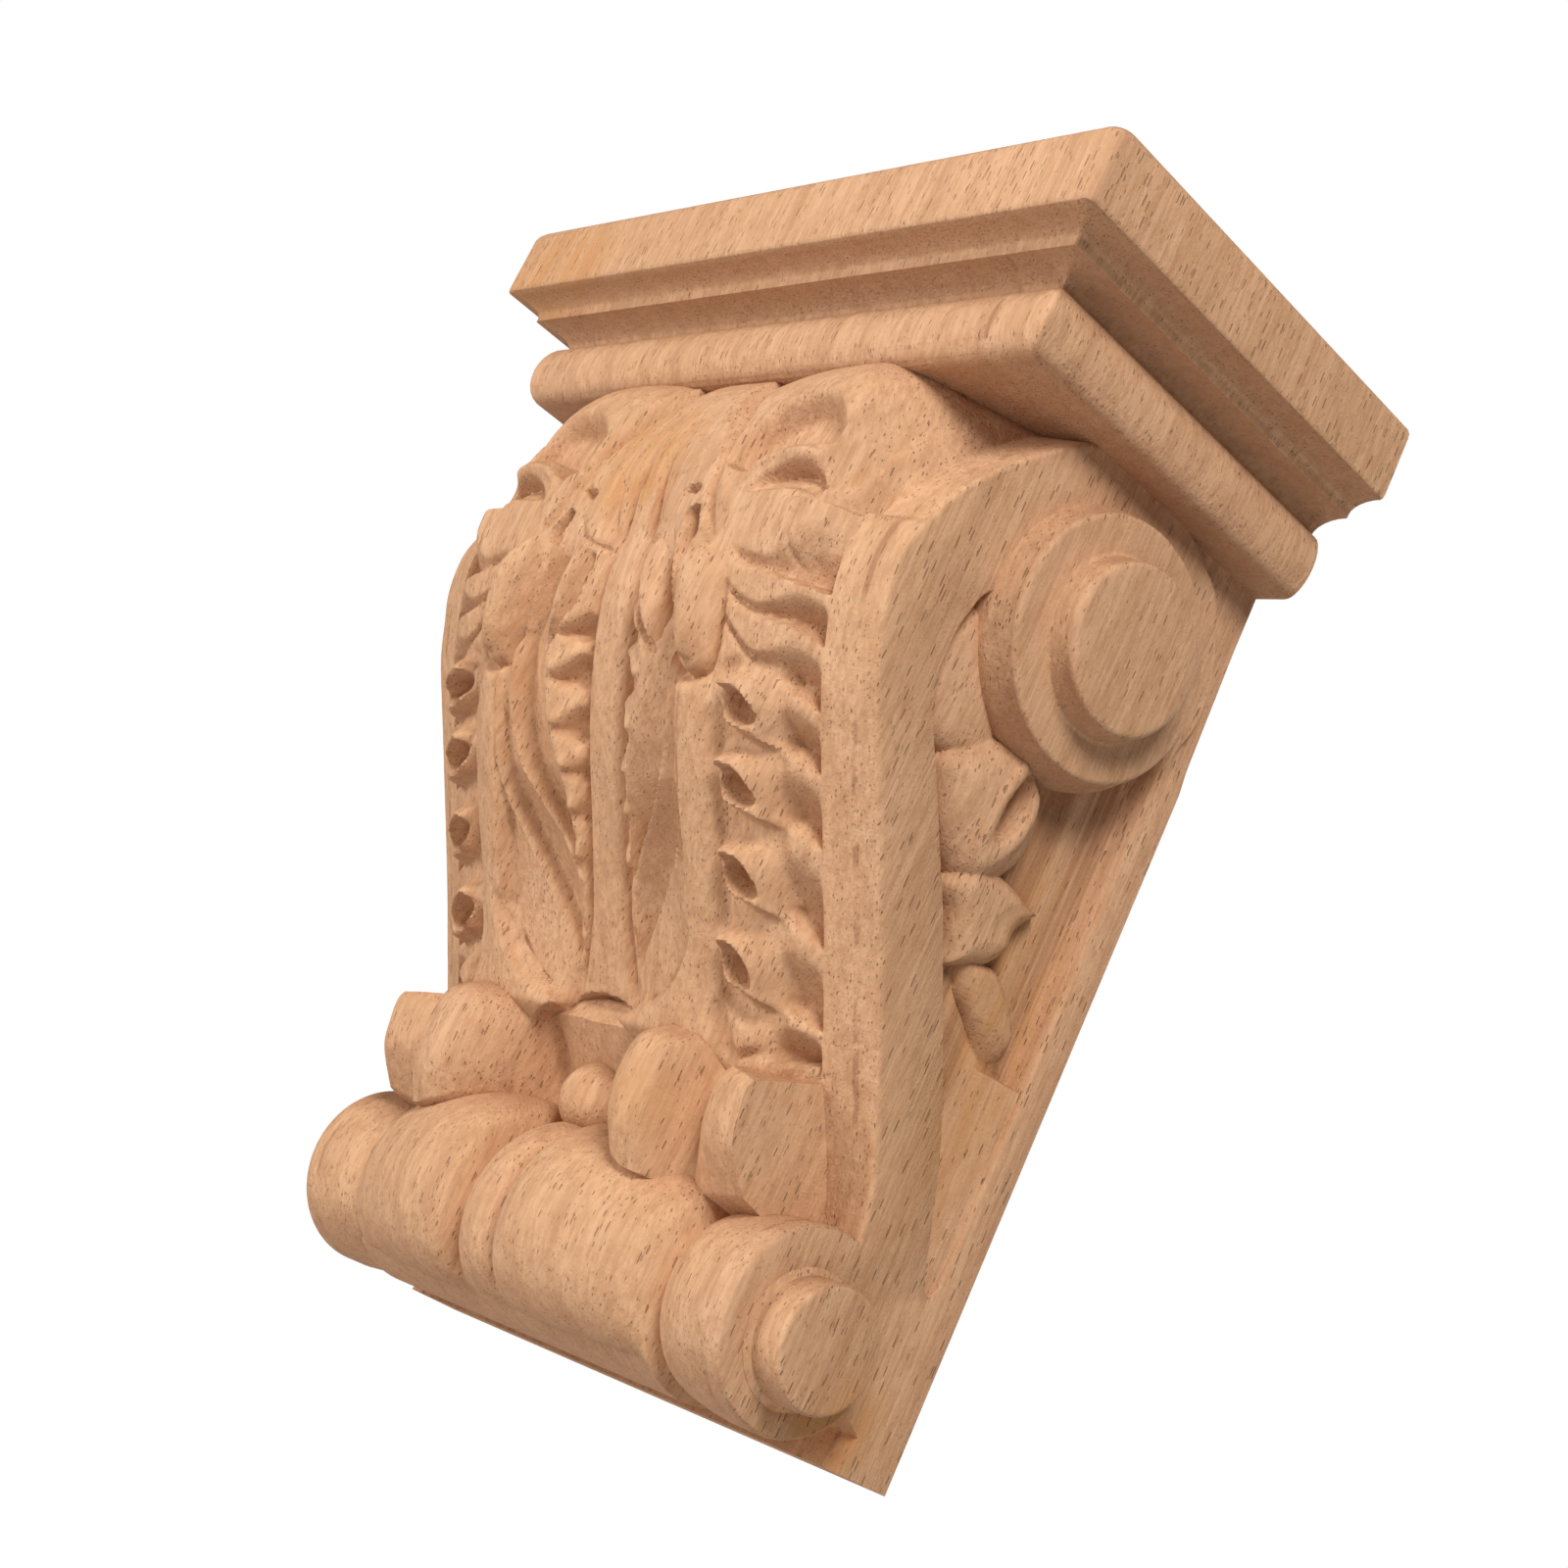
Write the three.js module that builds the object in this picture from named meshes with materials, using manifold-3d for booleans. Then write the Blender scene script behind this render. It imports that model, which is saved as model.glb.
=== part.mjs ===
// A small carved corbel of pale hardwood, one piece of wood.
// +Z is up, the wall is the plane y = 0, the carved front faces -Y and the origin is the middle of the back.
// Lengths are in millimetres.
import * as THREE from 'three';
import { mergeVertices } from 'three/addons/utils/BufferGeometryUtils.js';
import Module from 'manifold-3d';

const wasm = await Module();
wasm.setup();

// Driving dimensions
const BODY_HEIGHT = 123.7; // foot to the underside of the cap
const BODY_HALF_WIDTH = 48.3;
const BODY_DEPTH = 56.1; // wall to the foremost point of the side bands
const LEAF_RISE = 6.7; // how far the leaf stands in front of the side bands
const BORDER_WIDTH = 7.5; // plain strip along each side of the leaf
const BORDER_CAMBER = 2.4; // rise of that strip from the outer arris to the leaf
const CAP_OVERHANG = 13.2; // cap past the body at each side
const CAP_LIP = 0.7; // cap in front of the leaf
const SLAB_HEIGHT = 11.2;
const SLAB_ARRIS = 2;
const COVE_HEIGHT = 2.3; // hollow under the slab
const COVE_INSET = 4.6;
const NECK_HEIGHT = 3.1; // second hollow, above the round
const NECK_INSET = 9.3;
const ROUND_HEIGHT = 9.7; // half-round at the foot of the cap
const ROUND_INSET = 6.8;
const FIELD_DEPTH = 3; // sunk panel in each side
const BACK_STRIP = 4.6; // plain strip of the side along the wall
const DISC_RADIUS = 18.6; // raised disc in each scroll
const DISC_HEIGHT = 3.8;
const BUTTON_RADIUS = 11.9;
const BUTTON_HEIGHT = 3.9;
const ROLL_RADIUS = 12.45; // turned roll at the foot
const ROLL_KNOB_RADIUS = 8.2;
const ROLL_KNOB_HEIGHT = 5.5;
const BULB_RISE = 5; // bulbs of the roll past its radius
const LOBE_RADIUS = 9.8; // curled leaf tips on the bar

// Sizes that follow
const CAP_HEIGHT = ROUND_HEIGHT + NECK_HEIGHT + COVE_HEIGHT + SLAB_HEIGHT;
const HEIGHT = BODY_HEIGHT + CAP_HEIGHT;
const CAP_HALF_WIDTH = BODY_HALF_WIDTH + CAP_OVERHANG;
const CAP_DEPTH = BODY_DEPTH + LEAF_RISE + CAP_LIP;
const LEAF_HALF_WIDTH = BODY_HALF_WIDTH - BORDER_WIDTH;

// The side outlines are drawn for a body 56.1 deep and 123.7 high, and stretched to the real one
const DRAWN_DEPTH = 56.1;
const DRAWN_HEIGHT = 123.7;
const DRAWN_HALF_WIDTH = 40.8;
const DRAWN_RISE = 6.7;
const acrossScale = LEAF_HALF_WIDTH / DRAWN_HALF_WIDTH;
const depthScale = BODY_DEPTH / DRAWN_DEPTH;
const heightScale = BODY_HEIGHT / DRAWN_HEIGHT;
const riseScale = LEAF_RISE / DRAWN_RISE;
const drawn = ([y, z]) => new THREE.Vector2(y * depthScale, z * heightScale);

// Front edge of the side bands, from under the cap down to the roll
const BAND = [
  [-26, 127], [-36, 124], [-40.5, 120.5], [-46, 115], [-51.5, 108], [-54.4, 102], [-56.1, 96.4],
  [-55.6, 90.6], [-53.8, 86], [-51.7, 81.3], [-48.6, 76.4], [-45.2, 71.2], [-41.2, 65], [-37, 58.5],
  [-32.9, 52], [-29.4, 46.2], [-27.2, 42.6], [-24.9, 38.5], [-22.5, 33.5], [-20.3, 28], [-19.6, 22],
];
// Middle surface of the leaf at the same stations
const LEAF = [
  [-50, 127], [-54.4, 123.8], [-57.6, 120], [-60.2, 115], [-62, 109], [-62.8, 102.5], [-62.6, 96],
  [-61.5, 90], [-59.6, 84], [-57.2, 78.5], [-54.2, 72.8], [-50.6, 67], [-46.6, 61], [-42.4, 54.5],
  [-38.4, 48], [-35, 42], [-33, 38], [-29, 33], [-25, 28], [-22, 24], [-20, 20],
];
// Distance down the leaf at each station
const STATION_ARC = [
  0, 5.4, 10.4, 16, 22.3, 28.9, 35.4, 41.5, 47.8, 53.8, 60.2, 67, 74.2, 82, 89.6, 96.5, 101, 107, 114, 119, 124,
];
const bandCurve = new THREE.SplineCurve(BAND.map(drawn));
const leafCurve = new THREE.SplineCurve(LEAF.map(([y, z], i) => drawn([
  BAND[i][0] + (y - BAND[i][0]) * riseScale,
  BAND[i][1] + (z - BAND[i][1]) * riseScale,
])));

const clamp = THREE.MathUtils.clamp;
const step = THREE.MathUtils.smoothstep; // step(x, from, to) rises smoothly from 0 to 1

// Straight-line reading of a short table of [position, value] pairs
function reading(table, position) {
  let k = 1;
  while (k < table.length - 1 && table[k][0] < position) k += 1;
  const [x0, y0] = table[k - 1];
  const [x1, y1] = table[k];
  return y0 + (y1 - y0) * clamp((position - x0) / (x1 - x0), 0, 1);
}

// Rounded bump, 1 at its centre and 0 past an ellipse turned by an angle
function bump(across, down, { at, size, turn = 0 }) {
  const dx = across - at[0];
  const dy = down - at[1];
  const along = (dx * Math.cos(turn) + dy * Math.sin(turn)) / size[0];
  const beside = (dy * Math.cos(turn) - dx * Math.sin(turn)) / size[1];
  return Math.max(0, 1 - along * along - beside * beside);
}

// Lines of the leaf on its half chart: distance from the middle at each distance down
const EDGE_OF_STEM = [[24, 2.2], [40, 3.8], [86, 4.2], [98, 6]];
const MARGIN = [[36, 5.5], [60, 7], [84, 5.4], [98, 7]];
const FIRST_RIDGE = [[40, 13], [50, 17], [58, 16.6], [66, 15], [75, 10.5], [82, 6.5]];
const SECOND_RIDGE = [[44, 18], [55, 20.5], [65, 20], [73, 18.7], [81, 15], [87, 9.5], [92, 6]];
const STALK_INNER = [[40, 24], [60, 21.5], [85, 21.5], [92, 17.5], [98, 8]];
const STALK_OUTER = [[31, 24], [55, 24.7], [62, 27], [70, 28], [78, 28], [86, 26.5], [98, 26]];
const SIDE_FALL_START = [[0, 26], [16, 28], [30, 33], [44, 30], [98, 30]];

// Hollow channel between two ridges, 1 in its middle
const channel = (across, from, to) => {
  const share = (across - from) / (to - from);
  return share > 0 && share < 1 ? Math.sin(Math.PI * share) : 0;
};

// Height of the carving over the leaf's middle surface, at a distance from the middle and down the leaf
function carving(across, down) {
  let rise = 0;
  const opened = step(down, 20, 32); // the leaf opens into ribs below the top lobes
  const ended = 1 - step(down, 92, 98);
  const stem = reading(EDGE_OF_STEM, down);
  const margin = reading(MARGIN, down);
  const first = reading(FIRST_RIDGE, down);
  const second = reading(SECOND_RIDGE, down);
  const stalk = reading(STALK_INNER, down);
  const outer = reading(STALK_OUTER, down);
  // sunk middle with its round stem, and scalloped pits beside it
  const scallop = 0.5 + 0.5 * Math.cos((2 * Math.PI * (down - 50.5)) / 5.8);
  const pit = step(down, 44, 50) * (1 - step(down, 82, 90)) * scallop * 1.8;
  if (across < stem) rise -= opened * (2.2 + 1.2 * (across / stem) ** 2);
  else {
    const edge = margin + pit;
    rise -= opened * (3.6 + 0.6 * pit) * (1 - step(across, edge - 1.5, edge));
  }
  // channels between the ridges
  const fluted = step(down, 40, 48) * ended;
  rise -= fluted * 1.7 * channel(across, margin, Math.max(first, margin));
  rise -= fluted * 1.7 * channel(across, Math.max(first, margin), Math.max(second, margin));
  rise -= fluted * 1.3 * channel(across, Math.max(second, margin), Math.max(stalk, margin));
  rise -= 1.2 * bump(across, down, { at: [18.5, 91], size: [6, 2.2], turn: 2.2 });
  // top lobes: one in the middle and a broad one at each side, with a valley between
  const top = 1 - step(down, 14, 30);
  rise -= top * 2.6 * Math.exp(-(((across - 8) / 2.6) ** 2));
  rise += 0.5 * bump(across, down, { at: [22, 12], size: [12, 14] });
  // spoon and crescent hollows in the side lobe, above the ledge
  rise -= 2.6 * bump(across, down, { at: [25, 21], size: [8.5, 5.2], turn: 0.2 });
  rise -= 2.6 * bump(across, down, { at: [29, 28.6], size: [7, 2.6], turn: 0.15 });
  rise -= 2.2 * step(across, 30, 35) * step(down, 22, 30) * (1 - step(down, 30.5, 32));
  // slit beside the upper ribs and the hanging tongue
  rise -= 2 * bump(across, down, { at: [14.7, 37], size: [6, 1.6], turn: 1.85 });
  rise += 2 * Math.sqrt(bump(across, down, { at: [22, 45.5], size: [9, 3.6], turn: 1.2 }));
  // tongues outside the stalk, with a drilled eye in each of the long ones
  if (across > outer) {
    const beside = clamp((across - outer) / 3, 0, 1);
    const lower = step(down, 52, 56);
    const slant = lower * 0.8 + (1 - lower) * 0.22;
    const pitch = lower * 10.4 + (1 - lower) * 5.2;
    const phase = (down - slant * (across - outer) - 60) / pitch;
    const ribbed = 0.5 + 0.5 * Math.cos(2 * Math.PI * phase);
    rise -= beside * (0.9 + lower * 1.1) * ribbed * step(down, 34, 40) * (1 - step(down, 92, 98));
  }
  for (const eye of [56.5, 66, 76.5, 88]) {
    rise -= 2 * bump(across, down, { at: [31.3, eye], size: [3.6, 1.7], turn: 0.7 });
  }
  return rise * riseScale;
}

// Share of the leaf's rise that is left towards the border, 1 over the leaf and 0 at the outer arris
function fullness(across, down) {
  const start = reading(SIDE_FALL_START, down);
  const border = DRAWN_HALF_WIDTH;
  const atBorder = down > 30 ? BORDER_CAMBER / LEAF_RISE : 0.12;
  if (across <= start) return 1;
  if (across < border) return 1 - (1 - atBorder) * ((across - start) / (border - start)) ** 1.7;
  return atBorder * (1 - (across - border) / (BODY_HALF_WIDTH / acrossScale - border));
}

// A point of the front: between band and leaf by the fullness, then out by the carving
function frontPoint(x, station) {
  const share = station / (BAND.length - 1);
  const low = bandCurve.getPoint(share);
  const high = leafCurve.getPoint(share);
  const run = leafCurve.getTangent(share);
  const outward = new THREE.Vector2(run.y, -run.x);
  const down = reading(STATION_ARC.map((arc, k) => [k, arc]), station);
  const across = Math.abs(x) / acrossScale;
  const full = fullness(across, down);
  const carved = carving(across, down) * (1 - step(across, DRAWN_HALF_WIDTH - 1.5, DRAWN_HALF_WIDTH));
  return low.lerp(high, full).addScaledVector(outward, carved);
}

// A closed body from rows of points, each row a closed outline; both ends are filled flat
function loft(rows, flatten) {
  const count = rows[0].length;
  const positions = rows.flat().flatMap((p) => [p.x, p.y, p.z]);
  const index = [];
  for (let r = 0; r < rows.length - 1; r += 1) {
    for (let c = 0; c < count; c += 1) {
      const a = r * count + c;
      const b = r * count + ((c + 1) % count);
      index.push(a, b, b + count, a, b + count, a + count);
    }
  }
  for (const end of [0, rows.length - 1]) {
    const outline = rows[end].map(flatten);
    const turn = Math.sign(THREE.ShapeUtils.area(outline)) * (end === 0 ? -1 : 1);
    for (const [i, j, k] of THREE.ShapeUtils.triangulateShape(outline, [])) {
      const same = THREE.ShapeUtils.area([outline[i], outline[j], outline[k]]) * turn > 0;
      const corners = same ? [i, j, k] : [i, k, j];
      index.push(...corners.map((n) => end * count + n));
    }
  }
  const geometry = new THREE.BufferGeometry();
  geometry.setAttribute('position', new THREE.Float32BufferAttribute(positions, 3));
  geometry.setIndex(index);
  return geometry;
}
const seenAlongX = (p) => new THREE.Vector2(p.y, p.z);
const seenAlongZ = (p) => new THREE.Vector2(p.x, p.y);

// Closed geometry as a solid, with its faces turned outwards
function solidOf(geometry) {
  const bare = new THREE.BufferGeometry();
  bare.setAttribute('position', geometry.getAttribute('position'));
  bare.setIndex(geometry.getIndex());
  const merged = mergeVertices(bare, 1e-4);
  const points = merged.getAttribute('position');
  const triangles = Array.from(merged.getIndex().array);
  const corner = (n) => new THREE.Vector3().fromBufferAttribute(points, n);
  const kept = [];
  let volume = 0;
  for (let t = 0; t < triangles.length; t += 3) {
    const [i, j, k] = triangles.slice(t, t + 3);
    if (i === j || j === k || k === i) continue;
    kept.push(i, j, k);
    volume += corner(i).dot(corner(j).cross(corner(k)));
  }
  const outward = volume > 0 ? kept : kept.reverse();
  return new wasm.Manifold(new wasm.Mesh({
    numProp: 3,
    vertProperties: new Float32Array(points.array),
    triVerts: new Uint32Array(outward),
  }));
}

// Even steps from one value to another, both ends included
function steps(from, to, count) {
  return Array.from({ length: count + 1 }, (_, k) => from + ((to - from) * k) / count);
}

// Columns across the front, closer together where the leaf is carved
const ROWS_DOWN = 50;
const halfColumns = [
  ...steps(0, LEAF_HALF_WIDTH * 0.25, 8),
  ...steps(LEAF_HALF_WIDTH * 0.25, LEAF_HALF_WIDTH, 16).slice(1),
  BODY_HALF_WIDTH,
];
const columns = [...halfColumns.slice(1).reverse().map((x) => -x), ...halfColumns];

// The body: the back, the top inside the cap, the carved front and the foot under the roll
const rollAxis = drawn([-21.8, DRAWN_HEIGHT]).setY(ROLL_RADIUS);
const NOTCH = { depth: 8, height: 5 }; // wedge between the roll and the plate at the wall
function bodyOutline(x) {
  const front = steps(0, BAND.length - 1, ROWS_DOWN).map((station) => frontPoint(x, station));
  const outline = [
    new THREE.Vector2(0, 0),
    new THREE.Vector2(0, BODY_HEIGHT + ROUND_HEIGHT / 2),
    new THREE.Vector2(front[0].x, BODY_HEIGHT + ROUND_HEIGHT / 2),
    ...front,
    rollAxis,
    new THREE.Vector2(-NOTCH.depth, NOTCH.height),
    new THREE.Vector2(-NOTCH.depth * 1.2, 0),
  ];
  return outline.map((p) => new THREE.Vector3(x, p.x, p.y));
}
const body = solidOf(loft(columns.map(bodyOutline), seenAlongX));

// Sunk panel in each side, bounded by the band, the scroll and the strip along the wall
const PANEL = [
  [-6.8, 23.5], [-13, 38], [-18, 47], [-23, 55], [-28, 63], [-33, 70], [-38, 77], [-41, 81],
  [-43.4, 86], [-44, 91], [-43.5, 95], [-41.5, 99.5], [-30, 96], [-23, 85], [-16, 88], [-8, 94],
];
function panelCut(side) {
  const outline = PANEL.map(drawn);
  const along = drawn([0, 100]).y;
  outline.push(new THREE.Vector2(-BACK_STRIP, along), new THREE.Vector2(-BACK_STRIP, outline[0].y + BACK_STRIP));
  const depth = FIELD_DEPTH + 1;
  const shape = new THREE.Shape(outline);
  const panel = new THREE.ExtrudeGeometry(shape, { depth, bevelEnabled: false, curveSegments: 1 });
  panel.rotateX(Math.PI / 2).rotateZ(Math.PI / 2);
  panel.translate(side > 0 ? BODY_HALF_WIDTH - FIELD_DEPTH : -BODY_HALF_WIDTH - 1, 0, 0);
  return solidOf(panel);
}

// Turned shape about the X axis at (y, z), from a profile of [radius, x] pairs
function turned(profile, [y, z], segments) {
  const lathe = new THREE.LatheGeometry(profile.map(([r, x]) => new THREE.Vector2(r, x)), segments);
  lathe.rotateZ(-Math.PI / 2);
  lathe.translate(0, y, z);
  return solidOf(lathe);
}

// Scroll on each side: a raised disc with a soft shoulder and a low button
const scrollCentre = drawn([-23.3, 103]);
function scroll(side) {
  const disc = BODY_HALF_WIDTH + DISC_HEIGHT;
  const button = disc + BUTTON_HEIGHT;
  const profile = [
    [0, BODY_HALF_WIDTH - FIELD_DEPTH * 2],
    [DISC_RADIUS, BODY_HALF_WIDTH - FIELD_DEPTH * 2],
    [DISC_RADIUS, disc - 1.4],
    [DISC_RADIUS - 1.5, disc],
    [BUTTON_RADIUS, disc],
    [BUTTON_RADIUS, button - 0.9],
    [BUTTON_RADIUS - 1.2, button],
    [0, button],
  ];
  const mirrored = side > 0 ? profile : profile.map(([r, x]) => [r, -x]).reverse();
  return turned(mirrored, scrollCentre.toArray(), 36);
}

// Roll at the foot: rings at its ends, and two bulbs with a band between them on the front and top
const ROLL_PROFILE = [
  [0, 0.78], [0.07, 0.78], [0.085, 1], [0.2, 1.08], [0.33, 0.98], [0.5, 0.62], [0.63, 0.2], [0.7, -0.2],
  [0.74, -0.2], [0.76, 0], [1, 0],
];
const BULB_FACING = 0.44; // the bulbs stand out most here, as an angle up from the front
const BULB_END = Math.cos(1.34); // and die into the plain roll this far round
function rollRadius(x, angle) {
  const rise = reading(ROLL_PROFILE, Math.abs(x) / BODY_HALF_WIDTH) * BULB_RISE;
  const facing = Math.cos(angle - BULB_FACING);
  const carved = Math.max(0, (facing - BULB_END) / (1 - BULB_END)); // 0 beneath and behind
  return ROLL_RADIUS + rise * carved;
}
function roll() {
  const shares = ROLL_PROFILE.map(([share]) => share);
  const stops = shares.flatMap((share, k) => (k === 0 ? [0] : [(share + shares[k - 1]) / 2, share]));
  const xs = [...stops.slice(1).reverse().map((s) => -s), ...stops].map((s) => s * BODY_HALF_WIDTH);
  const rows = xs.map((x) => steps(0, 2 * Math.PI, 28).slice(0, -1).map((angle) => {
    const radius = rollRadius(x, angle);
    return new THREE.Vector3(x, rollAxis.x - radius * Math.cos(angle), rollAxis.y + radius * Math.sin(angle));
  }));
  return solidOf(loft(rows, seenAlongX));
}
function rollKnobs() {
  const end = BODY_HALF_WIDTH + ROLL_KNOB_HEIGHT;
  const side = [[0, end], [ROLL_KNOB_RADIUS - 0.8, end], [ROLL_KNOB_RADIUS, end - 0.8]];
  const profile = [...side, ...side.map(([r, x]) => [r, -x]).reverse()].reverse();
  return turned(profile, rollAxis.toArray(), 28);
}

// Bar of curled leaf tips between the leaf's foot and the roll
const BAR = [
  [-14, 38.2], [-36.4, 37.4], [-37, 33.1], [-36.1, 28.8], [-33.2, 25.6], [-28.7, 22.5], [-22, 14], [-12, 14],
];
function barReach(across) {
  const valley = Math.exp(-(((across - 11) / 5) ** 2)) * 8.5;
  const middle = (1 - step(across, 4, 8)) * 5;
  const notch = Math.exp(-(((across - 31) / 2.5) ** 2)) * 3;
  return -valley - middle - notch;
}
function bar() {
  const rows = steps(-DRAWN_HALF_WIDTH, DRAWN_HALF_WIDTH, 24).map((across) => BAR.map(([y, z], k) => {
    const inner = k === 0 || k > BAR.length - 3;
    const [ly, lz] = drawn([inner ? y : y - barReach(Math.abs(across)), z]).toArray();
    return new THREE.Vector3(across * acrossScale, ly, lz);
  }));
  return solidOf(loft(rows, seenAlongX));
}

// Rounded lump, drawn at (y, z) and a distance from the middle, with its three radii
function lump(x, [y, z], [rx, ry, rz], turn = 0, segments = 16) {
  const ball = new THREE.SphereGeometry(1, segments, Math.round(segments * 0.6));
  ball.scale(rx, ry, rz);
  ball.rotateX(turn);
  const place = drawn([y, z]);
  ball.translate(x, place.x, place.y);
  return solidOf(ball);
}
const LOBE_PLACE = { across: 22, at: [-28.3, 30.5] };

// Leaf drop on each side: a bud under the scroll, a husk and a tongue
const DROP = [
  { at: [-27.4, 75.8], size: [8, 10.6], turn: 0.45, rise: 7 },
  { at: [-19.8, 66], size: [6.4, 5.4], turn: 0.5, rise: 6 },
  { at: [-14.2, 56.2], size: [4.2, 7.2], turn: 0.85, rise: 4 },
  { at: [-41, 86.5], size: [3, 7.5], turn: -0.2, rise: 3.5 },
];

// Cap: levels of [inset from the cap's edge, height over the foot], bottom first
const roundTop = BODY_HEIGHT + ROUND_HEIGHT;
const coveFoot = roundTop + NECK_HEIGHT;
const slabFoot = coveFoot + COVE_HEIGHT;
const roundLevels = steps(-0.5, 0.5, 6).map((t) => [
  ROUND_INSET + (NECK_INSET - ROUND_INSET) * (1 - Math.cos(t * Math.PI)),
  BODY_HEIGHT + ROUND_HEIGHT / 2 + (ROUND_HEIGHT / 2) * Math.sin(t * Math.PI),
]);
const hollow = (fromInset, toInset, foot, height) => steps(0, 1, 4).map((t) => [
  fromInset + (toInset - fromInset) * (1 - Math.cos((t * Math.PI) / 2)),
  foot + height * Math.sin((t * Math.PI) / 2),
]);
const CAP_LEVELS = [
  ...roundLevels,
  ...hollow(NECK_INSET, COVE_INSET, roundTop, NECK_HEIGHT - 0.4).slice(1),
  ...hollow(COVE_INSET, 0.4, coveFoot, COVE_HEIGHT),
  [0, slabFoot + 0.8],
  [0, HEIGHT - SLAB_ARRIS],
  [SLAB_ARRIS * 0.3, HEIGHT - SLAB_ARRIS * 0.3],
  [SLAB_ARRIS, HEIGHT],
];
function cap() {
  const rows = CAP_LEVELS.map(([inset, z]) => {
    const half = CAP_HALF_WIDTH - inset;
    const front = inset - CAP_DEPTH;
    return [[-half, 0], [-half, front], [half, front], [half, 0]].map(([x, y]) => new THREE.Vector3(x, y, z));
  });
  return solidOf(loft(rows, seenAlongZ));
}

// The whole piece
let corbel = body.subtract(panelCut(1)).subtract(panelCut(-1));
corbel = corbel.add(cap()).add(roll()).add(rollKnobs()).add(bar());
for (const side of [-1, 1]) {
  corbel = corbel.add(scroll(side));
  corbel = corbel.add(lump(side * LOBE_PLACE.across * acrossScale, LOBE_PLACE.at, [LOBE_RADIUS, LOBE_RADIUS, 11]));
  const floor = side * (BODY_HALF_WIDTH - FIELD_DEPTH);
  for (const { at, size, turn, rise } of DROP) corbel = corbel.add(lump(floor, at, [rise, ...size], turn, 12));
}
const BAR_BOSS = { at: [-25, 30.5], size: [6.4, 7.3, 5.2] }; // small tip in the middle of the bar
corbel = corbel.add(lump(0, BAR_BOSS.at, BAR_BOSS.size, 0, 12));

const { numProp, vertProperties, triVerts } = corbel.getMesh();
const geometry = new THREE.BufferGeometry();
geometry.setAttribute('position', new THREE.InterleavedBufferAttribute(
  new THREE.InterleavedBuffer(vertProperties, numProp), 3, 0,
));
geometry.setIndex(new THREE.BufferAttribute(triVerts, 1));
geometry.translate(0, 0, -HEIGHT / 2);

const paleWood = new THREE.MeshStandardMaterial({ color: 0xd9b08f, roughness: 0.8, metalness: 0 });
const carvedCorbel = new THREE.Mesh(geometry, paleWood);
carvedCorbel.name = 'carved_corbel';

const corbelGroup = new THREE.Group();
corbelGroup.add(carvedCorbel);
export default corbelGroup;
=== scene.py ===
"""A small carved corbel of pale hardwood: one piece of wood, with an acanthus leaf under a moulded cap.

Drawn in millimetres from the foot, with the wall at y = 0 and the front towards -Y, then moved into
the frame.
"""
import math

import bpy
import numpy as np
from mathutils import Matrix


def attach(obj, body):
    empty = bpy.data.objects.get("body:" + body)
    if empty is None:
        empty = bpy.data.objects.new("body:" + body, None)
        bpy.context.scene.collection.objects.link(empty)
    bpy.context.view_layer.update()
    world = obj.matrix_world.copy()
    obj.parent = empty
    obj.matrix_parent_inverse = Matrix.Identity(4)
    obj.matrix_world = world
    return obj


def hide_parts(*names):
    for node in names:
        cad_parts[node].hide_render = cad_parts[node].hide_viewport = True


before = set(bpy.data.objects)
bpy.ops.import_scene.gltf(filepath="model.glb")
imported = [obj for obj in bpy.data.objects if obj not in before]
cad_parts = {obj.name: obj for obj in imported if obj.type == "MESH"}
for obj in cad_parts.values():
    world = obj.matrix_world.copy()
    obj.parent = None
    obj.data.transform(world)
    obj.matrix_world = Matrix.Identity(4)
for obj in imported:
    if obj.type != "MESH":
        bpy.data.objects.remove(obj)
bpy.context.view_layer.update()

# Sizes of the corbel, in millimetres
HEIGHT = 150.0
BODY_HEIGHT = 123.7
BODY_HALF_WIDTH = 48.3
LEAF_HALF_WIDTH = 40.8
BORDER_SHARE = 0.358  # of the leaf's rise that is left at the border strip
UPPER_BORDER_SHARE = 0.12  # the same beside the top lobes
CAP_HALF_WIDTH = 61.5
CAP_DEPTH = 63.5
BODY_TOP = 129.0  # hidden inside the cap
HEEL = [(-7.7, 4.6), (-8.6, 0)]  # (y, z) behind the roll, down to the foot
FIELD_DEPTH = 3.0
ROLL_AXIS = (-21.8, 12.45)
ROLL_RADIUS = 12.45
ROLL_BUTTON_CENTRE = (-22.2, 11.5)
ROLL_BUTTON_RADIUS = 7.6
ROLL_BUTTON_RISE = 5.6
SCROLL_CENTRE = (-24.0, 102.0)
SCROLL_RADIUS = 16.7
SCROLL_RISE = 4.0
SCROLL_BUTTON_RADIUS = 10.9
SCROLL_BUTTON_RISE = 8.0
RING_STEP = 0.9  # by which the side is lower behind the scroll
ARRIS = 0.6

# Front edge of the side bands (y, z), from under the cap down to the roll
BAND = [
    (-26, 127), (-36, 124), (-40.5, 120.5), (-46, 115), (-51.5, 108), (-54.4, 102), (-56.1, 96.4),
    (-55.6, 90.6), (-53.8, 86), (-51.7, 81.3), (-48.6, 76.4), (-45.2, 71.2), (-41.2, 65), (-37, 58.5),
    (-32.9, 52), (-29.4, 46.2), (-27.2, 42.6), (-24.9, 38.5), (-22.5, 33.5), (-20.3, 28), (-19.6, 22),
]
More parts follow.
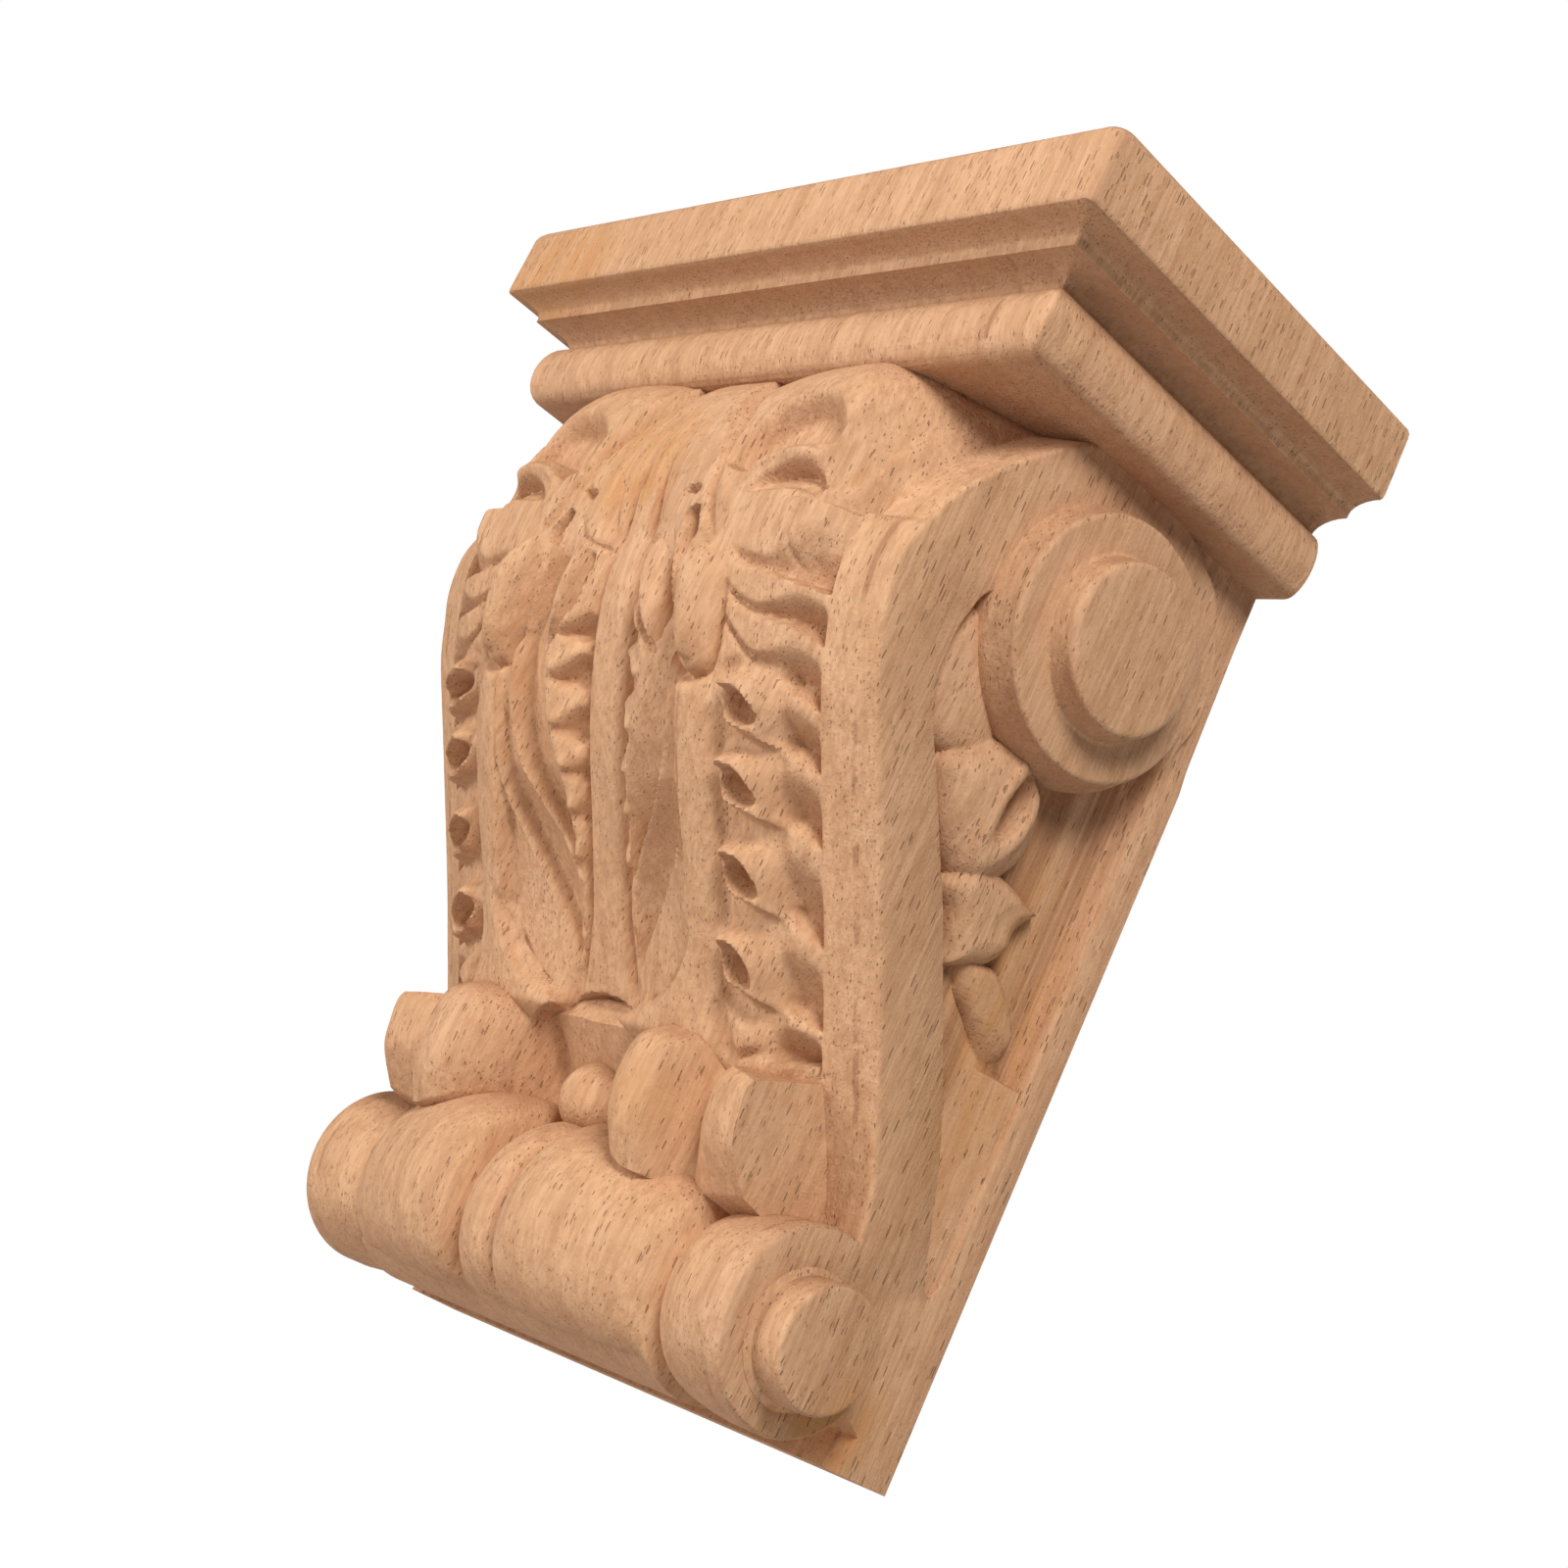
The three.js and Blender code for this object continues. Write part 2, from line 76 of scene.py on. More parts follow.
# Middle surface of the leaf at the same stations, and the distance down it
LEAF = [
    (-50, 127), (-54.4, 123.8), (-57.6, 120), (-60.2, 115), (-62, 109), (-62.8, 102.5), (-62.6, 96),
    (-61.5, 90), (-59.6, 84), (-57.2, 78.5), (-54.2, 72.8), (-50.6, 67), (-46.6, 61), (-42.4, 54.5),
    (-38.4, 48), (-35, 42), (-33, 38), (-29, 33), (-25, 28), (-22, 24), (-20, 20),
]
STATION_DOWN = [
    0, 5.4, 10.4, 16, 22.3, 28.9, 35.4, 41.5, 47.8, 53.8, 60.2, 67, 74.2, 82, 89.6, 96.5, 101, 107,
    114, 119, 124,
]


# Curves, and fields on a grid

def curve_at(points, places):
    """Points of the Catmull-Rom curve through the given ones, where place 2.5 is halfway from the third to
    the fourth: 0.5 (2 b + (c - a) u + (2 a - 5 b + 4 c - d) u^2 + (3 b - a - 3 c + d) u^3) on each span."""
    p = np.asarray(points, float)
    places = np.asarray(places, float)
    last = len(p) - 1
    k = np.clip(np.floor(places).astype(int), 0, last - 1)
    u = (places - k).reshape(places.shape + (1,) * (p.ndim - 1))
    a, b, c, d = p[np.maximum(k - 1, 0)], p[k], p[k + 1], p[np.minimum(k + 2, last)]
    return 0.5 * (2 * b + (c - a) * u + (2 * a - 5 * b + 4 * c - d) * u**2 + (3 * b - a - 3 * c + d) * u**3)


def rounded(points, closed=False, per_span=6):
    """The smooth curve through the points as a finer run of them, back to the first one if it is closed."""
    p = np.asarray(points, float)
    if not closed:
        return curve_at(p, np.linspace(0, len(p) - 1, (len(p) - 1) * per_span + 1))
    around = np.vstack([p[-1], p, p[:2]])
    return curve_at(around, np.linspace(1, len(p) + 1, len(p) * per_span + 1))


def through(places, values, x):
    """The cubic through values at uneven places, with slopes from their differences: (1 + 2u)(1 - u)^2 a +
    u (1 - u)^2 h m + u^2 (3 - 2u) b + u^2 (u - 1) h n on each span of length h."""
    places, values, x = (np.asarray(v, float) for v in (places, values, x))
    slopes = np.gradient(values, places, axis=0)
    k = np.clip(np.searchsorted(places, x, side="right") - 1, 0, len(places) - 2)
    flat = x.shape + (1,) * (values.ndim - 1)
    h = (places[k + 1] - places[k]).reshape(flat)
    u = (x - places[k]).reshape(flat) / h
    return ((1 + 2 * u) * (1 - u) ** 2 * values[k] + u * (1 - u) ** 2 * h * slopes[k]
            + u**2 * (3 - 2 * u) * values[k + 1] + u**2 * (u - 1) * h * slopes[k + 1])


def smooth(x, start, end):
    """0 before start and 1 after end, 3 u^2 - 2 u^3 between them; start may be the larger."""
    u = np.clip((x - start) / (end - start), 0, 1)
    return u * u * (3 - 2 * u)


def table(pairs, x):
    """Straight-line reading of a table of (position, value) pairs."""
    positions, values = zip(*pairs)
    return np.interp(x, positions, values)


def from_line(x, y, line):
    """Distance of each (x, y) from a run of points, and the share of the run at which it is nearest."""
    line = np.asarray(line, float)
    best = np.full(np.shape(x), 1e9)
    share = np.zeros(np.shape(x))
    spans = len(line) - 1
    for k in range(spans):
        (x0, y0), (x1, y1) = line[k], line[k + 1]
        dx, dy = x1 - x0, y1 - y0
        u = np.clip(((x - x0) * dx + (y - y0) * dy) / (dx * dx + dy * dy + 1e-12), 0, 1)
        far = np.hypot(x - x0 - u * dx, y - y0 - u * dy)
        nearer = far < best
        best = np.where(nearer, far, best)
        share = np.where(nearer, (k + u) / spans, share)
    return best, share


def within(x, y, outline):
    """Distance of each (x, y) to a closed outline, positive inside it; a level ray from an inside point
    crosses the outline an odd number of times."""
    outline = np.asarray(outline, float)
    far, _ = from_line(x, y, outline)
    inside = np.zeros(np.shape(x), bool)
    for (x0, y0), (x1, y1) in zip(outline[:-1], outline[1:]):
        if y0 == y1:
            continue
        crosses = (y0 > y) != (y1 > y)
        inside ^= crosses & (x < x0 + (y - y0) * (x1 - x0) / (y1 - y0))
    return np.where(inside, far, -far)


def along_curve(x, y, points, width, size, fade):
    """Distance of each (x, y) from a curve as a share of its half width, and the curve's size there, which
    fades at both ends. Width and size may be pairs, from the curve's start to its end."""
    far, share = from_line(x, y, rounded(points))
    half = 0.5 * np.interp(share, [0, 1], np.broadcast_to(width, 2))
    local = np.interp(share, [0, 1], np.broadcast_to(size, 2))
    ends = smooth(share, 0, fade) * smooth(share, 1, 1 - fade) if fade else 1.0
    return far / half, local * ends


def groove(x, y, points, width, depth, fade):
    """Depth of a round-bottomed cut along a curve: depth (1 - (distance / half width)^2)."""
    off, deep = along_curve(x, y, points, width, depth, fade)
    return deep * np.clip(1 - off**2, 0, None)


def ridge(x, y, points, width, height, fade):
    """Height of a soft crest along a curve: height exp(-(distance / half width)^2)."""
    off, high = along_curve(x, y, points, width, height, fade)
    return high * np.exp(-(off**2))


def dome(x, y, outline, shoulder):
    """A lobe, 0 at its outline and 1 where it is a shoulder's width inside:
    sqrt(1 - (1 - inward / shoulder)^2)."""
    inward = within(x, y, rounded(outline, closed=True))
    rest = 1 - np.clip(inward / shoulder, 0, 1)
    return np.sqrt(1 - rest * rest) * (inward > 0)


def pocket(x, y, outline, wall):
    """A hollow with sloping walls, 0 at its outline and 1 where it is a wall's width inside."""
    return smooth(within(x, y, rounded(outline, closed=True)), 0, wall)


def oval_radius(x, y, at, size, turn=0.0):
    """Distance from the middle of an oval as a share of its radius in that direction."""
    dx, dy = x - at[0], y - at[1]
    c, s = math.cos(turn), math.sin(turn)
    return np.hypot((dx * c + dy * s) / size[0], (dy * c - dx * s) / size[1])


def oval(x, y, at, size, turn=0.0):
    """1 - r^2 inside an oval of the given half sizes, turned by an angle, and 0 outside it."""
    return np.clip(1 - oval_radius(x, y, at, size, turn) ** 2, 0, None)


# The leaf on its half chart

# Distances are across from the middle and down from the cap. Edges and crests are (down, across), heights
# are (down, height), and outlines are (across, down).
STEM_EDGE = [(24, 2.2), (40, 3.8), (86, 4.2), (98, 6)]
MARGIN = [(36, 7), (50, 11), (56, 10.8), (62, 9.4), (67, 7.8), (72, 6.9), (80, 6), (86, 5.4), (98, 7)]
FIRST_RIDGE = [
    (36, 12.2), (42, 14.5), (50, 17.6), (57, 17.8), (62.4, 17.2), (67.7, 15.3), (72, 12.4), (76.4, 8.8),
    (81, 6.3), (84, 5.7), (98, 7.1),
]
SECOND_RIDGE = [
    (36, 16), (44, 18.6), (50, 20.2), (62, 20.5), (69, 20.1), (73, 18.9), (77.4, 16.6), (83, 12.9),
    (89, 8.9), (93, 6.8), (98, 7.2),
]
STALK_INNER = [
    (36, 17), (50, 20.7), (62, 20.9), (70, 21), (76, 21.3), (86, 21.2), (91.5, 18.2), (95, 13.5), (98, 8),
]
STALK_OUTER = [
    (31, 25), (50, 25.2), (55, 25.4), (60, 26.7), (65, 27.5), (74, 27.9), (83.5, 26.6), (90, 24.8),
    (94, 24.8), (98, 26.5),
]
MARGIN_HEIGHT = [(36, 0.3), (62, 0.6), (67, 0.2), (72, -0.7), (80, -1.6), (98, -2.4)]
FIRST_HEIGHT = [(36, 0.6), (57, 1.2), (67, 0.9), (72, -0.1), (76, -1.0), (81, -1.6), (98, -2.4)]
SECOND_HEIGHT = [
    (36, 1.2), (60, 2.0), (67, 1.8), (73, 0.6), (77.4, -0.5), (83, -1.4), (89, -1.8), (98, -2.4),
]
STALK_HEIGHT = [(36, 1.4), (60, 2.0), (84, 1.6), (98, 2.0)]
STALK_EDGE_HEIGHT = [(36, 0.6), (60, 0.5), (84, 0.4), (92, 1.2), (98, 2.0)]
STEM_FOOT = -2.2  # height in the corner between the stem and the margin
FIRST_WALL = 3.0  # height of the wall at the outer side of each flute
SECOND_WALL = [(50, 1.6), (66, 2.0), (74, 2.8), (90, 2.2)]
THIRD_WALL = 2.4
FALL_START = [(0, 26), (16, 29), (30, 35), (38, 34), (44, 31), (98, 31)]
PITS = [
    [(4.3, 46.4), (6.6, 47.6), (9.4, 49.6), (8.2, 50.7), (4.3, 50.6)],
    [(4.3, 52.2), (7, 53.3), (10, 55.6), (8.6, 57), (4.3, 57.2)],
    [(4.3, 59), (6.6, 60.1), (8.9, 62.4), (7.6, 64), (4.3, 64.4)],
    [(4.3, 66), (5.8, 66.6), (7.3, 67.9), (6.2, 69.3), (4.3, 69.6)],
    [(4.3, 71.7), (5.4, 72.2), (6.6, 73.6), (5.8, 74.8), (4.3, 75)],
    [(4.3, 77.6), (5.2, 78.2), (6.1, 80.2), (5.5, 81.9), (4.3, 82.4)],
]
SPOON = [
    (15.6, 26.4), (15.8, 21), (18.6, 17), (23.4, 14.6), (29, 15), (32.6, 18.6), (33.6, 23), (30.6, 23.9),
    (25.4, 24.4), (20.6, 27.8),
]
CRESCENT = [
    (21.6, 30.9), (23.4, 28.5), (26.6, 26.6), (31, 26), (34, 27.6), (35, 31), (31, 30.6), (26, 31),
]
TONGUE = [
    (16, 33), (16.6, 40), (17.7, 45.5), (18.7, 50), (20.1, 53), (22.2, 53.9), (24.2, 52.2), (24.7, 47.5),
    (24, 42), (22, 36.5), (19.6, 32),
]
# Middle of each eye beside the stalk, and how far it is turned
EYES = [(31.3, 57.6, 0.5), (31.3, 67.0, 0.66), (31.5, 77.8, 0.78), (30.8, 88.5, 0.8)]
# Outline of the boss round an eye, and the line of its strand, from the eye's middle
EYE_BOSS = [
    (-3.8, -2.4), (-1.6, -4.6), (1.6, -4.0), (3.8, -1.6), (4.6, 1.6), (4.8, 5.0), (3, 5.2), (0.4, 4.2),
    (-2.4, 2.6),
]
EYE_STRAND = [(-3.4, -2.4), (-0.8, -3.6), (2.2, -2.0), (3.9, 1.2), (4.5, 4.4)]
STALK_FOOT = [
    (25.8, 91), (27, 94.5), (28.6, 98.6), (31, 100.2), (34.4, 98.6), (34, 95.8), (31.6, 94), (28.6, 92.8),
]
# Upper edge of each leaflet, as its distance down at the places across
LEAFLET_ACROSS = (24, 28, 32, 36, 38, 41)
LEAFLET_EDGES = [
    (31, 31, 31, 31, 31.2, 31.6), (39, 40, 40.9, 41.4, 41.7, 42.2), (42, 44.8, 46.3, 46.9, 47.7, 49.6),
    (44.6, 48.8, 52.2, 54.3, 55.6, 58), (54, 56.4, 59, 61.8, 63.2, 65.8), (63, 65.4, 68, 70.6, 72, 74.4),
    (74, 76.6, 79.4, 82, 83.6, 86.2), (84, 86.6, 89.6, 92.6, 93.9, 96), (100, 100, 100, 100, 100.4, 101),
]


def flute(across, inner, outer, inner_height, outer_height, wall, steep=1.1):
    """Where and how high the surface is between two crests: from the inner one it hollows down as a
    quarter sine, then climbs a short wall to the outer one."""
    width = np.maximum(outer - inner, 1e-3)
    share = np.clip((across - inner) / width, 0, 1)
    climb = np.clip(steep / width, 0.1, 0.6)
    low = outer_height - wall * np.clip(width / 3, 0, 1)
    sunk = inner_height + (low - inner_height) * np.sin(0.5 * np.pi * np.clip(share / (1 - climb), 0, 1))
    inside = (across >= inner) & (across < outer)
    return inside, sunk + (outer_height - low) * smooth(share, 1 - climb, 1)


def ribs(across, down):
    """The open part of the leaf: sunk stem, toothed margin, three hollow flutes and the plain stalk."""
    stem = table(STEM_EDGE, down)
    margin = np.maximum(table(MARGIN, down), stem + 0.3)
    first = np.maximum(table(FIRST_RIDGE, down), margin)
    second = np.maximum(table(SECOND_RIDGE, down), first)
    inner = np.maximum(table(STALK_INNER, down), second)
    outer = np.maximum(table(STALK_OUTER, down), inner)
    at_margin = table(MARGIN_HEIGHT, down)
    at_first = table(FIRST_HEIGHT, down)
    at_second = table(SECOND_HEIGHT, down)
    stalk = table(STALK_HEIGHT, down)
    stalk_edge = table(STALK_EDGE_HEIGHT, down)
    rise = np.where(across < stem, -1.5 - 0.3 * (across / stem) ** 2, 0.0)
    to_margin = smooth((across - stem) / (margin - stem), 0, 1)
    share = np.clip((across - inner) / np.maximum(outer - inner, 1e-3), 0, 1)
    crowned = stalk + (stalk_edge - stalk) * share + 0.5 * np.sin(np.pi * share)
    parts = [
        ((across >= stem) & (across < margin), STEM_FOOT + (at_margin - STEM_FOOT) * to_margin),
        flute(across, margin, first, at_margin, at_first, FIRST_WALL),
        flute(across, first, second, at_first, at_second, table(SECOND_WALL, down)),
        flute(across, second, inner, at_second, stalk, THIRD_WALL, 1.2),
        ((across >= inner) & (across < outer), crowned),
    ]
    for inside, height in parts:
        rise = np.where(inside, height, rise)
    return np.where(across >= outer, stalk_edge * smooth(across, outer + 4, outer), rise)


def carving(across, down):
    """Height of the carving over the leaf's middle surface, which each part below raises or cuts."""
    rise = ribs(across, down) * smooth(down, 33, 46) * smooth(down, 103, 98)
    for part in (stem_slits, top_lobes, upper_ribs, teeth, leaf_end, hanging_tongue):
        rise = part(rise, across, down)
    return rise + side_leaflets(across, down)


def cut(rise, across, down, grooves):
    """The surface less each groove of a list of (line, width, depth, fade)."""
    for line, width, depth, fade in grooves:
        rise = rise - groove(across, down, line, width, depth, fade)
    return rise


def stem_slits(rise, across, down):
    """The stem with its slits, which begin between the top lobes."""
    opened = smooth(down, 22, 36)
    stem = table(STEM_EDGE, down)
    early = opened * (1 - smooth(down, 33, 46))
    rise = rise - early * 2.3 * (1 - smooth(across, stem + 0.4, stem + 5))
    rise -= 1.3 * opened * np.exp(-(((across - stem) / 0.6) ** 2)) * smooth(down, 97, 92)
    return cut(rise, across, down, [
        ([(2.2, 24), (2.5, 30), (2.9, 37)], 1.3, 1.5, 0.3),
        ([(5.6, 27), (5.4, 31), (5, 36)], 1.3, 0.9, 0.3),
    ])


def top_lobes(rise, across, down):
    """The valley beside the middle lobe, which runs on as the leaf's curled edge, and the side lobe with
    its spoon, its crescent and the thin rib between them."""
    curled_edge = [(8.8, 9), (11, 16), (13.6, 23), (15.2, 29), (18, 34.6), (21.6, 38.6)]
    rise = cut(rise, across, down, [
        ([(8, -4), (8.2, 4), (8.8, 10), (10.5, 16), (13.2, 22)], (8, 4), (4.6, 0.6), 0),
        (curled_edge, (2.6, 1.8), (1.5, 0.9), 0.1),
    ])
    crest = [(11, 9), (14.2, 16), (16.2, 24), (17.9, 29), (20.6, 34)]
    rise += ridge(across, down, crest, 2.6, (0.2, 1.0), 0.2)
    rise += 1.3 * oval(across, down, (24.5, 11), (13, 11)) ** 0.7
    rise -= 3.6 * pocket(across, down, SPOON, 2.4)
    rise -= groove(across, down, [(35.4, 10), (36, 17), (36, 23), (34.6, 30)], (6, 4.6), (0.5, 1.8), 0.2)
    rise -= 2.8 * pocket(across, down, CRESCENT, 1.0) * np.clip((31.4 - down) / 4.4, 0, 1)
    rise -= 2.4 * smooth(across, 29, 37) * smooth(down, 20, 29.5) * smooth(down, 31.9, 31.1)
    thin_rib = [(20.8, 28.2), (25.4, 25.6), (30.6, 25), (33.8, 26), (35.4, 29)]
    return rise + ridge(across, down, thin_rib, 1.5, 0.8, 0.15)


def upper_ribs(rise, across, down):
    """Small cuts among the upper ribs, and the two long lobes beside the stem, above the teeth."""
    rise = cut(rise, across, down, [
        ([(9.5, 30.6), (11.4, 29.8), (13, 30.2)], 1.5, 1.6, 0.3),
        ([(13.4, 32.4), (14.3, 34.4), (15.6, 37.4)], 2.4, 4.4, 0.25),
        ([(13.8, 36), (14.6, 39), (15.5, 43), (16.8, 47)], (2, 1.2), (1.6, 0.6), 0.2),
        ([(4.2, 37.6), (6.4, 37.4), (8.8, 36), (11, 33)], (1.6, 1), (0.9, 0.3), 0.15),
        ([(6.8, 37.5), (6.9, 41), (8.2, 46), (10.6, 50.2), (12.2, 52)], 1.5, 1.5, 0.15),
        ([(11.6, 38.5), (12.4, 43), (12.2, 48), (11.6, 51)], 1.4, 1.2, 0.2),
    ])
    return rise + 0.9 * oval(across, down, (9.8, 43), (2.2, 6), -0.25)


def teeth(rise, across, down):
    """The teeth of the margin: a rounded lip over each pit, and the pit cut under it."""
    for pit in PITS:
        lip = [(x, t - 0.8) for x, t in pit[:3]]
        rise = rise + ridge(across, down, lip, 1.5, (0.5, 0.7), 0.15)
        rise -= 2.2 * pocket(across, down, pit, 1.5)
    return rise


def leaf_end(rise, across, down):
    """A cut under the lowest flute, and the arch in which the leaf ends over the bar, a step back."""
    under_flute = [(21.4, 84), (20.6, 87.6), (18, 91.6), (14, 95), (7, 98.5)]
    rise = rise - groove(across, down, under_flute, (2.4, 2), (2.4, 1.2), 0.35)
    return rise - 2.6 * smooth(down - 96 - 3.5 * (across / 10) ** 2, 0, 0.8) * smooth(across, 13, 11)


def hanging_tongue(rise, across, down):
    """The tongue that hangs over the ribs, with a crown that falls as (1 - inward / 3.4)^2.2 to its edge,
    and a soft gap round it."""
    reach = within(across, down, rounded(TONGUE, closed=True))
    hang = smooth(down, 34, 43)
    crown = 3.8 - 4.8 * (1 - np.clip(reach / 3.4, 0, 1)) ** 2.2
    rise = np.where(reach > 0, np.maximum(rise, rise * (1 - hang) + hang * crown), rise)
    return rise - hang * 1.9 * np.exp(-(((reach + 0.7) / 0.75) ** 2)) * smooth(down, 36, 50)


def side_leaflets(across, down):
    """Leaflets between the stalk and the border, each sinking towards the edge of the next, with a rope of
    four slanting bosses with eyes along the stalk."""
    edges = [np.interp(across, LEAFLET_ACROSS, row) for row in LEAFLET_EDGES]
    turn = smooth(across, 30, 39)
    fall = np.zeros(np.shape(across))
    for k, (edge, following) in enumerate(zip(edges[:-1], edges[1:])):
        share = np.clip((down - edge) / (following - edge), 0, 1)
        step = 0.0 if k == 0 else 1 - smooth(down - edge, 0, 0.9)
        sunk = smooth(share, 0.82 - 0.62 * turn, 1) + step
        fall = np.where((down >= edge) & (down < following), sunk, fall)
    reach = np.where(down < 54, smooth(across, 24, 26.6), 1)
    reach = reach * np.maximum(smooth(across, 33.5, 36.5), smooth(down, 55, 51))
    rise = cut(-fall * reach * (1.0 + 2.3 * turn), across, down, [
        ([(34, 31.6), (34, 34.5), (34.2, 37.5), (36, 41)], 0.7, 0.45, 0.2),
        ([(37, 17), (38, 24), (40.6, 28), (41, 30)], 0.7, 0.45, 0.2),
    ])
    rope_down = smooth(down, 51, 54.5) * smooth(down, 101, 98)
    rise -= rope_down * smooth(across, 26.2, 27.8) * smooth(across, 38, 35.5)
    for x, t, slant in EYES:
        boss = [(x + dx, t + dy) for dx, dy in EYE_BOSS]
        strand = [(x + dx, t + dy) for dx, dy in EYE_STRAND]
        eye = oval_radius(across, down, (x, t), (3.7, 1.9), slant)
        rise += 2.0 * pocket(across, down, boss, 1.9) + ridge(across, down, strand, 2.2, 0.9, 0.1)
        rim = np.exp(-(((eye - 1.12) / 0.26) ** 2))
        rise += (0.4 + 0.8 * smooth(across, x + 0.5, x - 2)) * rim
        rise -= 3.4 * smooth(eye, 0.98, 0.55)
    return rise + 1.6 * pocket(across, down, STALK_FOOT, 2.0)


def fullness(across, down):
    """Share of the leaf's rise that is left: 1 over the leaf, falling as share^1.7 to the border strip, and
    straight from there to 0 at the arris."""
    start = table(FALL_START, down)
    at_border = BORDER_SHARE + (UPPER_BORDER_SHARE - BORDER_SHARE) * smooth(down, 31, 29.5)
    share = np.clip((across - start) / (LEAF_HALF_WIDTH - start), 0, 1)
    inner = 1 - (1 - at_border) * share**1.7
    outer = at_border * (1 - (across - LEAF_HALF_WIDTH) / (BODY_HALF_WIDTH - LEAF_HALF_WIDTH))
    return np.where(across <= LEAF_HALF_WIDTH, inner, outer)


def front_surface(x, down):
    """The carved front: between band and leaf curve by the fullness, then out along the leaf's normal by
    the carving, with the outer arrises rounded to a quarter circle."""
    places = np.interp(down, STATION_DOWN, np.arange(len(STATION_DOWN)))
    low = curve_at(BAND, places)
    high = curve_at(LEAF, places)
    near = 0.02
    run = curve_at(LEAF, places + near) - curve_at(LEAF, places - near)
    run /= np.linalg.norm(run, axis=-1, keepdims=True)
    outward = np.stack([run[..., 1], -run[..., 0]], -1)
    across = np.abs(x)[:, None] + 0 * down[None, :]
    t = down[None, :] + 0 * across
    full = fullness(across, t)[..., None]
    carved = carving(across, t) * smooth(across, LEAF_HALF_WIDTH, LEAF_HALF_WIDTH - 0.8)
    inset = np.clip(across - (BODY_HALF_WIDTH - ARRIS), 0, ARRIS)
    carved -= ARRIS - np.sqrt(ARRIS**2 - inset**2)
    return low + (high - low) * full + outward * carved[..., None]


# Meshes

def mesh_object(name, points, faces):
    """A mesh object in the frame: millimetres over the foot become metres about the middle of the back."""
    placed = (np.asarray(points, float) - (0, 0, HEIGHT / 2)) / 1000
    mesh = bpy.data.meshes.new(name)
    mesh.from_pydata(placed.tolist(), [], faces)
    mesh.update()
    piece = bpy.data.objects.new(name, mesh)
    bpy.context.scene.collection.objects.link(piece)
    return piece


def closed_loft(name, rows):
    """A closed body through rows of closed outlines, both ends filled. The side to which the outlines turn,
    seen along the way from the first row to the last, tells which way its faces have to run."""
    rows = np.asarray(rows, float)
    count, around = rows.shape[:2]
    r = np.arange(count - 1)[:, None] * around
    c = np.arange(around)[None, :]
    n = (c + 1) % around
    quads = np.stack([r + c, r + n, r + n + around, r + c + around], -1).reshape(-1, 4)
    first = list(range(around))[::-1]
    last = list(range((count - 1) * around, count * around))
    faces = [first] + quads.tolist() + [last]
    turn = np.cross(rows, np.roll(rows, -1, axis=1)).sum((0, 1))
    if turn @ (rows[-1] - rows[0]).mean(0) < 0:
        faces = [face[::-1] for face in faces]
    return mesh_object(name, rows.reshape(-1, 3), faces)


def height_block(name, side, y, z, top, foot):
    """A closed block on one side: a grid of (y, z) points with the distance across of its top at each, over
    a flat foot."""
    points = np.stack([side * top, y, z], -1).reshape(-1, 3)
    index = np.arange(y.size).reshape(y.shape)
    rim = np.concatenate([index[:, 0], index[-1, 1:], index[-2::-1, -1], index[0, -2:0:-1]])
    base = points[rim] * (0, 1, 1) + (side * foot, 0, 0)
    quads = np.stack([index[:-1, :-1], index[1:, :-1], index[1:, 1:], index[:-1, 1:]], -1).reshape(-1, 4)
    low = y.size + np.arange(len(rim))
    walls = np.stack([rim, low, np.roll(low, -1), np.roll(rim, -1)], -1)
    faces = quads.tolist() + walls.tolist() + [low[::-1].tolist()]
    if side < 0:
        faces = [face[::-1] for face in faces]
    return mesh_object(name, np.vstack([points, base]), faces)


def turned(name, side, profile, centre, segments):
    """A turned body on one side: each (radius, distance across) of the profile swept round the (y, z)
    centre."""
    angle = np.linspace(0, 2 * np.pi, segments, endpoint=False)
    rows = []
    for r, x in profile:
        y, z = centre[0] + r * np.cos(angle), centre[1] + r * np.sin(angle)
        rows.append(np.stack([np.full(segments, side * x), y, z], -1))
    return closed_loft(name, rows)


# The body with its carved front

CARVED_SPACING = 0.37
BORDER_COLUMNS = [41.1, 42.0, 43.4, 45.0, 46.4, 47.4, 47.7, 47.9, 48.08, 48.2, 48.28]


def mirrored(half):
    """Places across from -half to +half, for places that start at the middle."""
    return np.concatenate([-half[:0:-1], half])


def repeated(points, count):
    """The same (y, z) points for each of a number of outlines."""
    points = np.asarray(points, float)
    return np.broadcast_to(points, (count,) + points.shape)


def body_rows():
    """Outline of the body at each column: the back, the top inside the cap, the front and the foot."""
    columns = mirrored(np.concatenate([
        np.arange(0, 3.6, 0.6), np.arange(3.6, LEAF_HALF_WIDTH - 0.05, CARVED_SPACING),
        [LEAF_HALF_WIDTH], BORDER_COLUMNS, [BODY_HALF_WIDTH],
    ]))
    rows_down = np.concatenate([
        np.arange(0, 14, 0.8), np.arange(14, 100.5, CARVED_SPACING), np.linspace(100.8, 124, 22),
    ])
    front = front_surface(columns, rows_down)
    count = len(columns)
    top = np.stack([front[:, 0, 0], np.full(count, BODY_TOP)], -1)[:, None, :]
    back = repeated([(0, 0), (0, BODY_TOP)], count)
    outline = np.concatenate([back, top, front, repeated([ROLL_AXIS] + HEEL, count)], axis=1)
    x = np.broadcast_to(columns[:, None, None], outline.shape[:2] + (1,))
    return np.concatenate([x, outline], axis=2)


body = closed_loft("body", body_rows())

# Sunk field of each side, with flared edges

